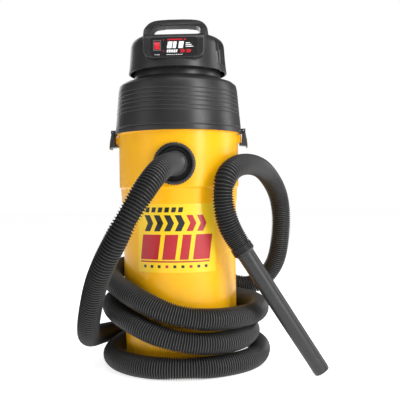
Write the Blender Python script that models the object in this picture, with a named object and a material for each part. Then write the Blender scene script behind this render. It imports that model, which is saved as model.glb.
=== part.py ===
"""Wall-hung wet and dry shop vacuum: a yellow tank, a black lid with its motor head, and a hose.

Metres, +Z up. The origin is the centre of the tank's base, and the hose inlet faces -Y.
Every sub-part is one object. Empties stand on the joint axes and carry what moves.
"""

import math

import bmesh
import bpy
from mathutils import Matrix, Vector

# Driving dimensions, in metres. Heights are above the tank's base.
GAP = 0.0003  # air left between touching pieces
ROUND = 40  # sides of the large turned pieces
SMALL_ROUND = 20  # sides of the small turned pieces
COLLAR_ROUND = 32  # sides of the inlet's collar and nut
PIN_ROUND = 10  # sides of pins and screws

TANK_BASE_RADIUS = 0.105
TANK_SHOULDER_RADIUS = 0.1157  # above the step
TANK_STEP_HEIGHT = 0.3405
TANK_RIM_RADIUS = 0.119
TANK_HEIGHT = 0.4455

INLET_HEIGHT = 0.382
INLET_RADIUS = 0.038
INLET_FACE = 0.1235  # from the tank's axis to the collar's face
SLEEVE_RADIUS = 0.030
CUFF_RADIUS = 0.0232

LID_RADIUS = 0.1231
LID_BOTTOM = 0.4424
LID_WALL_TOP_RADIUS = 0.1132
LID_SHOULDER_HEIGHT = 0.534
NECK_RADIUS = 0.083
DECK_HEIGHT = 0.566

SKIRT_RADIUS = 0.0955
SKIRT_HEIGHT = 0.559
DOME_HEIGHT = 0.634
HEAD_WALL = 0.0025
FINGER_HALF_WIDTH = 0.0470

HANDLE_TOP = 0.6613
BEZEL_FACE = -0.0955
SWITCH_CENTRE = (-0.030, -0.0925, 0.5955)  # the rocker's pivot

LATCH_PIVOT_RADIUS = 0.1266
LATCH_PIVOT_HEIGHT = 0.4482
LATCH_HALF_WIDTH = 0.014

SHAFT_RADIUS = 0.004
CAGE_RADIUS = 0.050
CAGE_TOP = 0.4530
CAGE_BOTTOM = 0.347
BALL_RADIUS = 0.019

HOSE_DIAMETER = 0.040
WAND_TOP = Vector((0.1152, -0.1058, 0.2342))
WAND_TIP = Vector((0.2583, -0.1038, 0.0082))
WAND_TOP_RADIUS = 0.0160
WAND_TIP_RADIUS = 0.0145

# The hose's centreline, by hand: out of the inlet and down the front, back along the left side,
# one loose turn on the floor, two more turns climbing the tank, then the standing loop on the right.
HOSE_ROUTE = [
    (0.000, -0.1213, 0.382), (0.000, -0.132, 0.382), (0.000, -0.147, 0.381), (-0.011, -0.170, 0.378),
    (-0.024, -0.196, 0.363), (-0.042, -0.216, 0.336), (-0.060, -0.227, 0.305), (-0.073, -0.231, 0.283),
    (-0.084, -0.228, 0.262),
    (-0.097, -0.221, 0.240), (-0.112, -0.209, 0.213), (-0.130, -0.184, 0.177), (-0.147, -0.150, 0.128),
    (-0.160, -0.110, 0.088), (-0.171, -0.041, 0.058), (-0.161, 0.055, 0.043), (-0.132, 0.125, 0.034),
    (-0.076, 0.167, 0.026), (-0.006, 0.182, 0.021), (0.064, 0.168, 0.021), (0.121, 0.124, 0.021),
    (0.151, 0.065, 0.021), (0.154, -0.001, 0.021), (0.131, -0.070, 0.021), (0.074, -0.115, 0.021),
    (0.009, -0.131, 0.021), (-0.056, -0.120, 0.021), (-0.106, -0.080, 0.021), (-0.132, -0.015, 0.021),
    (-0.118, 0.061, 0.026), (-0.069, 0.114, 0.034), (-0.005, 0.133, 0.043), (0.066, 0.117, 0.052),
    (0.114, 0.070, 0.059), (0.135, 0.005, 0.062), (0.117, -0.071, 0.062), (0.077, -0.113, 0.062),
    (0.025, -0.132, 0.066), (-0.027, -0.131, 0.078), (-0.080, -0.108, 0.098), (-0.123, -0.052, 0.113),
    (-0.132, 0.025, 0.119), (-0.100, 0.089, 0.117), (-0.039, 0.128, 0.113), (0.027, 0.131, 0.111),
    (0.086, 0.106, 0.110), (0.136, 0.065, 0.108), (0.153, 0.010, 0.105), (0.141, -0.047, 0.103),
    (0.108, -0.090, 0.103), (0.069, -0.119, 0.105), (0.025, -0.132, 0.110), (-0.027, -0.131, 0.124),
    (-0.084, -0.104, 0.148), (-0.120, -0.059, 0.163), (-0.134, -0.005, 0.173), (-0.121, 0.060, 0.179),
    (-0.070, 0.119, 0.179), (-0.005, 0.145, 0.170), (0.055, 0.154, 0.147), (0.101, 0.156, 0.131),
    (0.145, 0.149, 0.124), (0.173, 0.142, 0.142), (0.196, 0.132, 0.175), (0.205, 0.124, 0.216),
    (0.209, 0.118, 0.263), (0.207, 0.112, 0.299), (0.197, 0.097, 0.335), (0.172, 0.061, 0.370),
    (0.145, -0.005, 0.382), (0.118, -0.071, 0.380), (0.100, -0.103, 0.370), (0.088, -0.120, 0.353),
    (0.085, -0.121, 0.331), (0.086, -0.119, 0.306), (0.094, -0.113, 0.272),
]
ROUTE_STEP = 0.005  # spacing of the smoothed route
HOSE_POINTS = 80

LATCH_SIDES = {"left": -1, "right": 1}
SCREW_ANGLES = (40, 140, 220, 320)
SCREW_CIRCLE = 0.072


# Materials

def finish(name, colour, roughness, metallic=0.0):
    look = bpy.data.materials.new(name)
    look.use_nodes = True
    shader = look.node_tree.nodes["Principled BSDF"]
    shader.inputs["Base Color"].default_value = (*colour, 1.0)
    shader.inputs["Roughness"].default_value = roughness
    shader.inputs["Metallic"].default_value = metallic
    return look


# Shapes

def show(name, shape, look):
    shape.materials.append(look)
    shape.shade_smooth()
    shape.set_sharp_from_angle(angle=math.radians(32))
    piece = bpy.data.objects.new(name, shape)
    bpy.context.collection.objects.link(piece)
    return piece


def close_up(name, work, look):
    bmesh.ops.remove_doubles(work, verts=work.verts, dist=1e-7)
    bmesh.ops.recalc_face_normals(work, faces=work.faces)
    shape = bpy.data.meshes.new(name)
    work.to_mesh(shape)
    work.free()
    return show(name, shape, look)


def turned(name, outline, look, sides=ROUND, sweep=360, start=0):
    """A closed outline of (radius, height) points, spun about local Z."""
    work = bmesh.new()
    rings = sides if sweep == 360 else sides + 1
    columns = []
    for radius, height in outline:
        if radius == 0:
            columns.append([work.verts.new((0, 0, height))] * rings)
            continue
        column = []
        for k in range(rings):
            turn = math.radians(start + sweep * k / sides)
            column.append(work.verts.new((radius * math.cos(turn), radius * math.sin(turn), height)))
        columns.append(column)
    for i, column in enumerate(columns):
        after = columns[(i + 1) % len(columns)]
        for k in range(sides):
            n = (k + 1) % rings
            corners = [column[k], column[n], after[n], after[k]]
            distinct = list(dict.fromkeys(corners))
            if len(distinct) > 2:
                work.faces.new(distinct)
    if sweep != 360:
        work.faces.new([column[0] for column in columns])
        work.faces.new([column[-1] for column in columns])
    return close_up(name, work, look)


def prism(name, outline, axis, low, high, look):
    """A flat outline pushed along axis "x", "y" or "z" from low to high."""
    def corner(a, b, level):
        return {"x": (level, a, b), "y": (a, level, b), "z": (a, b, level)}[axis]
    work = bmesh.new()
    near = [work.verts.new(corner(a, b, low)) for a, b in outline]
    far = [work.verts.new(corner(a, b, high)) for a, b in outline]
    work.faces.new(near)
    work.faces.new(far)
    for i in range(len(outline)):
        n = (i + 1) % len(outline)
        work.faces.new([near[i], near[n], far[n], far[i]])
    return close_up(name, work, look)


def block(name, low, high, look):
    outline = [(low[0], low[1]), (high[0], low[1]), (high[0], high[1]), (low[0], high[1])]
    return prism(name, outline, "z", low[2], high[2], look)


def rod(name, radius, length, look, sides=PIN_ROUND):
    return turned(name, [(0, 0), (radius, 0), (radius, length), (0, length)], look, sides)


def point_along(piece, place, direction):
    """Stand a piece turned about local Z at a place, with its Z along a direction."""
    piece.location = place
    piece.rotation_euler = Vector((0, 0, 1)).rotation_difference(Vector(direction)).to_euler()
    return piece


def boolean(piece, tool, operation):
    tool.hide_render = True
    tool.display_type = "WIRE"
    step = piece.modifiers.new(tool.name, "BOOLEAN")
    step.operation = operation
    step.solver = "EXACT"
    step.object = tool


def cut(piece, *tools):
    for tool in tools:
        boolean(piece, tool, "DIFFERENCE")


def join(piece, *tools):
    for tool in tools:
        boolean(piece, tool, "UNION")


def mirrored(half):
    """A left-right outline from its right half, listed from the bottom to the top."""
    return half + [(-a, b) for a, b in reversed(half)]


def joint_empty(name, place, *pieces):
    """An empty on a joint's axis that carries the pieces, which keep their place in the world."""
    empty = bpy.data.objects.new(name, None)
    empty.location = place
    bpy.context.collection.objects.link(empty)
    carry(empty, place, *pieces)
    return empty


def carry(empty, place, *pieces):
    for piece in pieces:
        piece.parent = empty
        piece.matrix_parent_inverse = Matrix.Translation(-Vector(place))


# The tank and what is fixed to it

def tank_outline():
    outside = [(0, 0), (TANK_BASE_RADIUS - 0.006, 0), (TANK_BASE_RADIUS - 0.0015, 0.0018),
               (TANK_BASE_RADIUS, 0.006), (0.1075, 0.05), (0.1087, 0.117), (0.109, 0.200), (0.1108, 0.3115),
               (0.1115, 0.3125), (0.1130, 0.3385), (TANK_SHOULDER_RADIUS, TANK_STEP_HEIGHT),
               (TANK_SHOULDER_RADIUS, 0.4415), (TANK_RIM_RADIUS, 0.4424), (TANK_RIM_RADIUS, TANK_HEIGHT)]
    inside = [(0.1128, TANK_HEIGHT), (0.1127, 0.3420), (0.1100, 0.3395), (0.1078, 0.3110), (0.106, 0.200),
              (0.1057, 0.117), (0.1045, 0.05), (0.1022, 0.009), (0.0970, 0.0035), (0, 0.0035)]
    return outside + inside


def make_tank(yellow):
    tank = turned("tank", tank_outline(), yellow)
    for side, sign in LATCH_SIDES.items():
        near, far = sorted((sign * 0.1140, sign * 0.1222))
        join(tank, block(f"lug_{side}", (near, -0.010, 0.4245), (far, 0.010, 0.4400), yellow))
    hole = point_along(rod("inlet_hole", SLEEVE_RADIUS + 0.0006, 0.06, yellow, COLLAR_ROUND),
                       (0, -0.085, INLET_HEIGHT), (0, -1, 0))
    cut(tank, hole)
    for side, sign in LATCH_SIDES.items():
        seat = rod(f"screw_seat_{side}", 0.0023, 0.02, yellow)
        cut(tank, point_along(seat, (sign * 0.024, 0.1112, 0.414), (0, 1, 0)))
    return tank


def make_inlet(black, steel_grey):
    """The collar's sleeve goes through the tank's wall into a nut, and its flange fits the wall."""
    outline = [(CUFF_RADIUS + 0.0004, 0.095), (SLEEVE_RADIUS, 0.095), (SLEEVE_RADIUS, 0.1030),
               (INLET_RADIUS, 0.1030), (INLET_RADIUS, INLET_FACE - 0.001), (INLET_RADIUS - 0.001, INLET_FACE),
               (0.0315, INLET_FACE), (0.0300, INLET_FACE - 0.002), (0.0290, 0.1125),
               (CUFF_RADIUS + 0.0004, 0.1125)]
    collar = turned("inlet_collar", outline, black, COLLAR_ROUND)
    point_along(collar, (0, 0, INLET_HEIGHT), (0, -1, 0))
    skin = TANK_SHOULDER_RADIUS + GAP
    saddle = turned("saddle", [(0.098, 0.344), (skin, 0.344), (skin, 0.424), (0.098, 0.424)], black)
    core = rod("saddle_core", SLEEVE_RADIUS + 0.0002, 0.08, black, COLLAR_ROUND)
    cut(saddle, point_along(core, (0, -0.080, INLET_HEIGHT), (0, -1, 0)))
    cut(collar, saddle)
    nut = turned("inlet_nut", [(SLEEVE_RADIUS + 0.0005, 0.0972), (0.0355, 0.0972), (0.0355, 0.1050),
                               (SLEEVE_RADIUS + 0.0005, 0.1050)], steel_grey, COLLAR_ROUND)
    point_along(nut, (0, 0, INLET_HEIGHT), (0, -1, 0))
    bend = [(0.0968, 0.4150), (0.0890, 0.4130), (0.0830, 0.4060), (0.0800, 0.3950), (0.0790, 0.3560),
            (0.0810, 0.3560), (0.0820, 0.3945), (0.0846, 0.4045), (0.0898, 0.4110), (0.0968, 0.4128)]
    deflector = prism("inlet_deflector", [(-a, b) for a, b in bend], "x", -0.026, 0.026, black)
    return [collar, nut, deflector]


def make_hanger(black, bright_steel):
    """A plate on the tank's back with a slot for a wall hook, held by two short sunk screws."""
    plate = block("hanger_plate", (-0.034, 0.104, 0.352), (0.034, 0.1245, 0.428), black)
    skin = TANK_SHOULDER_RADIUS + GAP
    cut(plate, turned("hanger_saddle", [(0, 0.34), (skin, 0.34), (skin, 0.44), (0, 0.44)], black))
    cut(plate, block("hook_slot", (-0.0065, 0.10, 0.360), (0.0065, 0.13, 0.398), black))
    pieces = [plate]
    for side, sign in LATCH_SIDES.items():
        place = (sign * 0.024, 0.1112, 0.414)
        cut(plate, point_along(rod(f"plate_hole_{side}", 0.0023, 0.02, black), place, (0, 1, 0)))
        head_seat = rod(f"head_seat_{side}", 0.0050, 0.01, black)
        cut(plate, point_along(head_seat, (place[0], 0.1207, place[2]), (0, 1, 0)))
        outline = [(0, 0.0029), (0.0018, 0.0029), (0.0018, 0.0098), (0.0042, 0.0098), (0.0042, 0.0111),
                   (0.0030, 0.0122), (0, 0.0122)]
        screw = turned(f"hanger_screw_{side}", outline, bright_steel, PIN_ROUND)
        pieces.append(point_along(screw, place, (0, 1, 0)))
    return pieces


# The lid and the blower under it

def make_lid(black):
    outside = [(0.1203, LID_BOTTOM), (LID_RADIUS, LID_BOTTOM), (LID_RADIUS, 0.4514), (0.1222, 0.4526),
               (0.1216, 0.4534), (0.1153, 0.524), (LID_WALL_TOP_RADIUS, LID_SHOULDER_HEIGHT),
               (0.107, 0.5392), (0.0875, 0.5456), (NECK_RADIUS + 0.001, 0.5475), (NECK_RADIUS, DECK_HEIGHT)]
    inside = [(0.050, DECK_HEIGHT), (0.050, 0.563), (0.0800, 0.563), (0.0805, 0.5452), (0.0865, 0.5424),
              (0.105, 0.5362), (0.110, 0.5322), (0.1123, 0.521), (0.1185, 0.4550), (0.1184, 0.4530),
              (0.1120, 0.4530), (0.1120, 0.4478), (0.1203, 0.4478)]
    lid = turned("lid", outside + inside, black)
    for side, sign in LATCH_SIDES.items():
        near, far = sorted((sign * 0.1210, sign * 0.1300))
        for end, y in (("front", -0.016), ("rear", 0.016)):
            ear = block(f"ear_{side}_{end}", (near, y - 0.0015, 0.4444), (far, y + 0.0015, 0.4516), black)
            join(lid, ear)
        bore = rod(f"ear_bore_{side}", 0.0016, 0.045, black)
        cut(lid, point_along(bore, (sign * LATCH_PIVOT_RADIUS, -0.0225, LATCH_PIVOT_HEIGHT), (0, 1, 0)))
    for angle in SCREW_ANGLES:
        cut(lid, upright_rod(f"deck_hole_{angle}", 0.0023, angle, 0.560, 0.570, black))
    return lid


def upright_rod(name, radius, angle, low, high, look):
    turn = math.radians(angle)
    piece = rod(name, radius, high - low, look)
    piece.location = (SCREW_CIRCLE * math.cos(turn), SCREW_CIRCLE * math.sin(turn), low)
    return piece


def make_latches(black, bright_steel):
    """Each latch hangs on a pin under the lid's rim, and its toe hooks under the tank's lug."""
    latches, pins = {}, []
    for side, sign in LATCH_SIDES.items():
        barrel = []
        for k in range(9):
            turn = math.radians(180 - 22.5 * k)
            barrel.append((LATCH_PIVOT_RADIUS + 0.0029 * math.cos(turn),
                           LATCH_PIVOT_HEIGHT + 0.0029 * math.sin(turn)))
        plate = [(0.1316, 0.4330), (0.1342, 0.4180), (0.1340, 0.4156), (0.1326, 0.4150), (0.1312, 0.4190),
                 (0.1190, 0.4200), (0.1183, 0.4215), (0.1186, 0.4239), (0.1240, 0.4239), (0.1240, 0.4440)]
        outline = [(sign * a, b) for a, b in barrel + plate]
        latch = prism(f"latch_{side}", outline, "y", -LATCH_HALF_WIDTH, LATCH_HALF_WIDTH, black)
        place = (sign * LATCH_PIVOT_RADIUS, -0.0225, LATCH_PIVOT_HEIGHT)
        cut(latch, point_along(rod(f"latch_bore_{side}", 0.0016, 0.045, black), place, (0, 1, 0)))
        pin = rod(f"latch_pin_{side}", 0.0012, 0.036, bright_steel)
        pins.append(point_along(pin, (place[0], -0.018, place[2]), (0, 1, 0)))
        latches[side] = latch
    return latches, pins


def make_lid_inside(rubber, grey, black, foam):
    gasket = turned("lid_gasket", [(0.1132, 0.4458), (0.1186, 0.4458), (0.1186, 0.4475), (0.1132, 0.4475)],
                    rubber)
    bulkhead = turned("bulkhead", [(0.0470, 0.4533), (0.1180, 0.4533), (0.1180, 0.4558), (0.0470, 0.4558)],
                      grey)
    shell = turned("blower_shell", [
        (0.022, 0.512), (0.0475, 0.512), (0.0475, 0.4561), (0.0500, 0.4561), (0.0500, 0.512), (0.0625, 0.512),
        (0.0625, 0.5602), (0.0785, 0.5602), (0.0785, 0.5627), (0.0123, 0.5627), (0.0123, 0.5600),
        (0.0600, 0.5600), (0.0600, 0.5145), (0.022, 0.5145)], grey, SMALL_ROUND)
    for angle in SCREW_ANGLES:
        cut(shell, upright_rod(f"flange_hole_{angle}", 0.0023, angle, 0.555, 0.565, grey))
    cage = turned("float_cage", [
        (0.0165, CAGE_TOP), (0.0165, 0.4503), (CAGE_RADIUS - 0.0025, 0.4503),
        (CAGE_RADIUS - 0.0025, 0.3495), (0, 0.3495), (0, CAGE_BOTTOM), (CAGE_RADIUS, CAGE_BOTTOM),
        (CAGE_RADIUS, 0.4501), (0.058, 0.4501), (0.058, CAGE_TOP)], black, SMALL_ROUND)
    for k in range(3):
        window = block(f"cage_window_{k}", (-0.07, -0.014, 0.355), (0.07, 0.014, 0.444), black)
        window.rotation_euler = (0, 0, math.radians(60 * k))
        cut(cage, window)
    ball = bpy.data.meshes.new("float_ball")
    work = bmesh.new()
    bmesh.ops.create_icosphere(work, subdivisions=2, radius=BALL_RADIUS)
    work.to_mesh(ball)
    work.free()
    ball = show("float_ball", ball, foam)
    sleeve = turned("filter_sleeve", [
        (0, 0.3410), (0.0600, 0.3410), (0.0620, 0.3430), (0.0620, 0.4498), (CAGE_RADIUS + 0.0009, 0.4498),
        (CAGE_RADIUS + 0.0009, 0.3466), (0, 0.3466)], foam, SMALL_ROUND)
    band = turned("filter_band", [(0.0623, 0.4400), (0.0640, 0.4400), (0.0640, 0.4460), (0.0623, 0.4460)],
                  rubber, SMALL_ROUND)
    return gasket, bulkhead, shell, cage, ball, sleeve, band


# The motor head

def dome(offset):
    """The housing's outer outline, grown by an offset."""
    points = [(SKIRT_RADIUS, SKIRT_HEIGHT), (0.0925, 0.585), (0.0908, 0.6100), (0.0895, 0.6155),
              (0.0865, 0.6200), (0.0807, 0.6240), (0.0660, 0.6285), (0.0400, 0.6325), (0, DOME_HEIGHT)]
    return [(r + offset if r else 0, z + offset * (z > SKIRT_HEIGHT)) for r, z in points]


def finger_recess(name, offset, look):
    """The hollow in front of the housing's crown that leaves room for fingers under the grip."""
    drop = offset
    side = [(-0.110, 0.6123 - drop), (0.024 + offset, 0.6336 - drop), (0.024 + offset, 0.66), (-0.110, 0.66)]
    half = FINGER_HALF_WIDTH + offset
    return prism(name, side, "x", -half, half, look)


def make_housing(black):
    base = [(0, SKIRT_HEIGHT)]
    housing = turned("motor_housing", base + dome(0), black)
    cut(housing, finger_recess("finger_recess", 0, black))
    hollow = turned("hollow", [(0, 0.55), (SKIRT_RADIUS - HEAD_WALL, 0.55)] + dome(-HEAD_WALL)[1:], black)
    cut(hollow, finger_recess("recess_back", HEAD_WALL, black))
    cut(housing, hollow)
    for angle in SCREW_ANGLES:
        join(housing, upright_rod(f"post_{angle}", 0.0055, angle, DECK_HEIGHT + GAP, 0.6235, black))
    for angle in SCREW_ANGLES:
        cut(housing, upright_rod(f"post_hole_{angle}", 0.0023, angle, 0.562, 0.5795, black))
    for k in range(5):
        z = 0.5720 + 0.0080 * k
        cut(housing, block(f"vent_{k}", (0.070, -0.045, z), (0.11, 0.045, z + 0.0042), black))
    gland_hole = rod("gland_hole", 0.0080, 0.04, black, SMALL_ROUND)
    cut(housing, point_along(gland_hole, (0, 0.075, 0.585), (0, 1, 0)))
    cut(housing, switch_hole("housing_switch_hole", black))
    return housing


def switch_hole(name, look):
    x, _, z = SWITCH_CENTRE
    return block(name, (x - 0.0068, -0.11, z - 0.0092), (x + 0.0068, -0.065, z + 0.0092), look)


def make_yoke(black):
    """The carrying handle and the control panel's frame, moulded in one."""
    front = mirrored([(0.0430, 0.5735), (0.0505, 0.5765), (0.0550, 0.5835), (0.0565, 0.5950),
                      (0.0590, 0.6110), (0.0615, 0.6210), (0.0617, 0.6290), (0.0602, 0.6380),
                      (0.0580, 0.6445), (0.0548, 0.6500), (0.0495, 0.6550), (0.0410, 0.6588),
                      (0.0300, 0.6604), (0.0150, HANDLE_TOP)])
    yoke = prism("handle_yoke", front, "y", -0.12, 0.03, black)
    side = [(BEZEL_FACE, 0.570), (BEZEL_FACE, 0.6080), (-0.0935, 0.6140), (-0.0880, 0.6185),
            (-0.0690, 0.6275), (-0.0450, 0.6390), (-0.0340, 0.6480), (-0.0295, 0.6560),
            (-0.0240, HANDLE_TOP + 0.001), (-0.0050, HANDLE_TOP + 0.001), (0.0005, 0.6560),
            (0.0030, 0.6450), (0.0075, 0.6320), (0.0100, 0.6200), (-0.0500, 0.6000), (-0.0700, 0.570)]
    boolean(yoke, prism("yoke_side", side, "x", -0.08, 0.08, black), "INTERSECT")
    plan = mirrored([(0.0550, -0.0980), (0.0572, -0.0800), (0.0600, -0.0500), (0.0620, -0.0200),
                     (0.0620, 0.0300)])
    boolean(yoke, prism("yoke_plan", plan, "z", 0.55, 0.68, black), "INTERSECT")
    gap = mirrored([(FINGER_HALF_WIDTH - 0.003, 0.6175), (FINGER_HALF_WIDTH, 0.6200),
                    (FINGER_HALF_WIDTH, 0.6350), (0.0445, 0.6418), (0.0385, 0.6462), (0.0200, 0.6482)])
    cut(yoke, prism("finger_gap", gap, "y", -0.13, 0.04, black))
    crown = turned("crown", [(0, SKIRT_HEIGHT)] + dome(GAP), black)
    cut(yoke, crown)
    cut(yoke, prism("panel_seat", panel_outline(0), "y", -0.11, BEZEL_FACE + 0.0015, black))
    cut(yoke, switch_hole("yoke_switch_hole", black))
    return yoke


def panel_outline(inset):
    half = [(0.0355 - inset, 0.5755 + inset), (0.0415 - inset, 0.5805 + inset),
            (0.0415 - inset, 0.6085 - inset), (0.0395 - inset, 0.6105 - inset)]
    return mirrored(half)


def make_panel(black, red, grey):
    """The label plate, the rocker switch's case behind it, and the rocker on its trunnion line."""
    plate = prism("panel_plate", panel_outline(GAP), "y", BEZEL_FACE + 0.0002, BEZEL_FACE + 0.0012, black)
    cut(plate, switch_hole("plate_switch_hole", black))
    x, y, z = SWITCH_CENTRE
    rim_back = BEZEL_FACE - 0.0001
    case = block("switch_body", (x - 0.0065, rim_back, z - 0.0089), (x + 0.0065, -0.0725, z + 0.0089), grey)
    rim_low, rim_high = (x - 0.0073, rim_back - 0.0011, z - 0.0097), (x + 0.0073, rim_back, z + 0.0097)
    rim = block("switch_rim", rim_low, rim_high, grey)
    join(case, rim)
    cut(case, block("rocker_well", (x - 0.0054, -0.11, z - 0.0076), (x + 0.0054, -0.0845, z + 0.0076), grey))
    rocker = prism("rocker", rocker_outline(y, z), "x", x - 0.0050, x + 0.0050, red)
    return plate, case, rocker


def rocker_outline(y, z):
    """The rocker's side, tipped 8 degrees to its off position."""
    tip = math.radians(8)
    level = [(-0.0047, -0.0066), (-0.0036, 0), (-0.0047, 0.0066), (0.0030, 0.0055), (0.0045, 0),
             (0.0030, -0.0055)]
    return [(y + a * math.cos(tip) - b * math.sin(tip), z + a * math.sin(tip) + b * math.cos(tip))
            for a, b in level]


def make_gland(black):
    outline = [(0.0042, 0.0850), (0.0075, 0.0850), (0.0075, 0.0943), (0.0110, 0.0943), (0.0100, 0.0970),
               (0.0065, 0.0995), (0.0042, 0.0995)]
    return point_along(turned("cord_gland", outline, black, SMALL_ROUND), (0, 0, 0.585), (0, 1, 0))


def make_head_screws(bright_steel):
    """They go up through the blower's flange and the lid's deck into the housing's posts."""
    screws = []
    for number, angle in enumerate(SCREW_ANGLES, 1):
        outline = [(0, 0.5573), (0.0030, 0.5573), (0.0040, 0.5585), (0.0040, 0.5599), (0.0018, 0.5599),
                   (0.0018, 0.5785), (0, 0.5785)]
        screw = turned(f"head_screw_{number}", outline, bright_steel, PIN_ROUND)
        turn = math.radians(angle)
        screw.location = (SCREW_CIRCLE * math.cos(turn), SCREW_CIRCLE * math.sin(turn), 0)
        screws.append(screw)
    return screws


# The motor

def make_motor_frame(iron, copper, grey, carbon, brass, bright_steel):
    pieces = [turned("stator_core", [(0.0290, 0.5740), (0.0410, 0.5740), (0.0410, 0.6010), (0.0290, 0.6010)],
                     iron, SMALL_ROUND)]
    coil = [(0.0235, 0.5695), (0.0360, 0.5695), (0.0360, 0.5735), (0.0285, 0.5735), (0.0285, 0.6015),
            (0.0360, 0.6015), (0.0360, 0.6055), (0.0235, 0.6055)]
    for name, start in (("field_coil_rear", 35), ("field_coil_front", 215)):
        pieces.append(turned(name, coil, copper, 10, 110, start))
    for side, sign in LATCH_SIDES.items():
        near, far = sorted((sign * 0.0125, sign * 0.0320))
        holder = block(f"brush_holder_{side}", (near, -0.0045, 0.6035), (far, 0.0045, 0.6125), brass)
        cut(holder, block(f"brush_slot_{side}", (-0.04, -0.0032, 0.6048), (0.04, 0.0032, 0.6112), brass))
        near, far = sorted((sign * 0.0109, sign * 0.0250))
        pieces.append(holder)
        pieces.append(block(f"carbon_brush_{side}", (near, -0.0029, 0.6051), (far, 0.0029, 0.6109), carbon))
    bearings = (("bearing_lower", 0.5600, 0.5665, 0.0118), ("bearing_upper", 0.6150, 0.6195, 0.0090))
    for name, low, high, outer in bearings:
        race = [(SHAFT_RADIUS + 0.0005, low), (outer, low), (outer, high), (SHAFT_RADIUS + 0.0005, high)]
        pieces.append(turned(name, race, bright_steel, SMALL_ROUND))
    arch = [(-0.0395, 0.6013), (-0.0368, 0.6013), (-0.0368, 0.6160), (0.0368, 0.6160), (0.0368, 0.6013),
            (0.0395, 0.6013), (0.0395, 0.6190), (-0.0395, 0.6190)]
    bridge = prism("motor_bridge", arch, "x", -0.0120, 0.0120, grey)
    seat = rod("bearing_seat", 0.0094, 0.02, grey, SMALL_ROUND)
    seat.location = (0, 0, 0.605)
    cut(bridge, seat)
    return pieces + [bridge]


def wheel(name, disc, blade_low, blade_high, inner, outer, count, lean, look):
    """A disc with flat blades, on a hub bored for the shaft."""
    piece = turned(name, disc, look, SMALL_ROUND)
    work = bmesh.new()
    for k in range(count):
        turn = Matrix.Rotation(math.tau * k / count, 4, "Z")
        made = bmesh.ops.create_cube(work, size=1)["verts"]
        size = Matrix.Diagonal((outer - inner, 0.0016, blade_high - blade_low, 1))
        place = Matrix.Translation(((inner + outer) / 2, 0, (blade_low + blade_high) / 2))
        bmesh.ops.transform(work, matrix=turn @ place @ Matrix.Rotation(lean, 4, "Z") @ size, verts=made)
    join(piece, close_up(f"{name}_blades", work, look))
    return piece


def make_rotor(iron, copper, aluminium, black, bright_steel):
    bore = SHAFT_RADIUS + GAP
    shaft = rod("motor_shaft", SHAFT_RADIUS, 0.1045, bright_steel, SMALL_ROUND)
    shaft.location = (0, 0, 0.5165)
    armature = turned("armature", [(bore, 0.5745), (0.0205, 0.5745), (0.0205, 0.6005), (bore, 0.6005)],
                      iron, SMALL_ROUND)
    commutator = turned("commutator", [(bore, 0.6040), (0.0105, 0.6040), (0.0105, 0.6120), (bore, 0.6120)],
                        copper, SMALL_ROUND)
    fan_disc = [(bore, 0.5672), (0.0215, 0.5672), (0.0215, 0.5682), (0.0080, 0.5688), (0.0080, 0.5735),
                (bore, 0.5735)]
    fan = wheel("cooling_fan", fan_disc, 0.5678, 0.5733, 0.007, 0.0212, 6, 0.5, black)
    impeller_disc = [(bore, 0.5200), (0.0090, 0.5200), (0.0110, 0.5500), (0.0560, 0.5530), (0.0560, 0.5550),
                     (bore, 0.5550)]
    impeller = wheel("impeller", impeller_disc, 0.5200, 0.5535, 0.024, 0.0555, 8, 0.6, aluminium)
    return [shaft, armature, commutator, fan, impeller]


# The hose and the wand

def smooth_route():
    """The hand-chosen points as one curve at even steps, with its small kinks eased out."""
    down = (WAND_TIP - WAND_TOP).normalized()
    stations = [Vector(p) for p in HOSE_ROUTE] + [WAND_TOP - down * d for d in (0.022, 0.010, GAP)]
    dense = [stations[0]]
    for i in range(len(stations) - 1):
        before = stations[i - 1] if i else stations[0] * 2 - stations[1]
        after = stations[i + 2] if i + 2 < len(stations) else stations[-1]
        start, end = stations[i], stations[i + 1]
        for k in range(1, 13):
            t = k / 12
            bend = (2 * before - 5 * start + 4 * end - after) * t * t
            twist = (3 * start - before - 3 * end + after) * t ** 3
            dense.append(0.5 * (2 * start + (end - before) * t + bend + twist))
    points = even_points(dense, round(run_length(dense) / ROUTE_STEP))
    for _ in range(14):
        eased = [(points[i - 1] + points[i] * 2 + points[i + 1]) / 4 for i in range(2, len(points) - 2)]
        points[2:-2] = eased
    for point in points:
        point.z = max(point.z, HOSE_DIAMETER / 2 + 0.0008)
    return points


def run_length(points):
    return sum((b - a).length for a, b in zip(points, points[1:]))


def even_points(points, count):
    """Count + 1 points at even distances along a polyline."""
    total = run_length(points)
    result, travelled, i = [points[0].copy()], 0.0, 0
    for k in range(1, count):
        target = total * k / count
        while travelled + (points[i + 1] - points[i]).length < target:
            travelled += (points[i + 1] - points[i]).length
            i += 1
        step = (points[i + 1] - points[i]).length
        result.append(points[i].lerp(points[i + 1], (target - travelled) / step))
    return result + [points[-1].copy()]


def make_hose(black):
    route = smooth_route()
    points = even_points(route, HOSE_POINTS - 3)
    points[1:1] = [route[1]]  # both ends leave their cuffs square
    points[-1:-1] = [route[-2]]
    curve = bpy.data.curves.new("hose", "CURVE")
    curve.dimensions = "3D"
    curve.bevel_depth = HOSE_DIAMETER / 2
    curve.bevel_resolution = 3
    curve.use_fill_caps = True
    curve.render_resolution_u = 0
    spline = curve.splines.new("POLY")
    spline.points.add(len(points) - 1)
    for slot, point in zip(spline.points, points):
        slot.co = (*point, 1)
    curve.materials.append(black)
    hose = bpy.data.objects.new("hose", curve)
    bpy.context.collection.objects.link(hose)
    return hose


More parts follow.
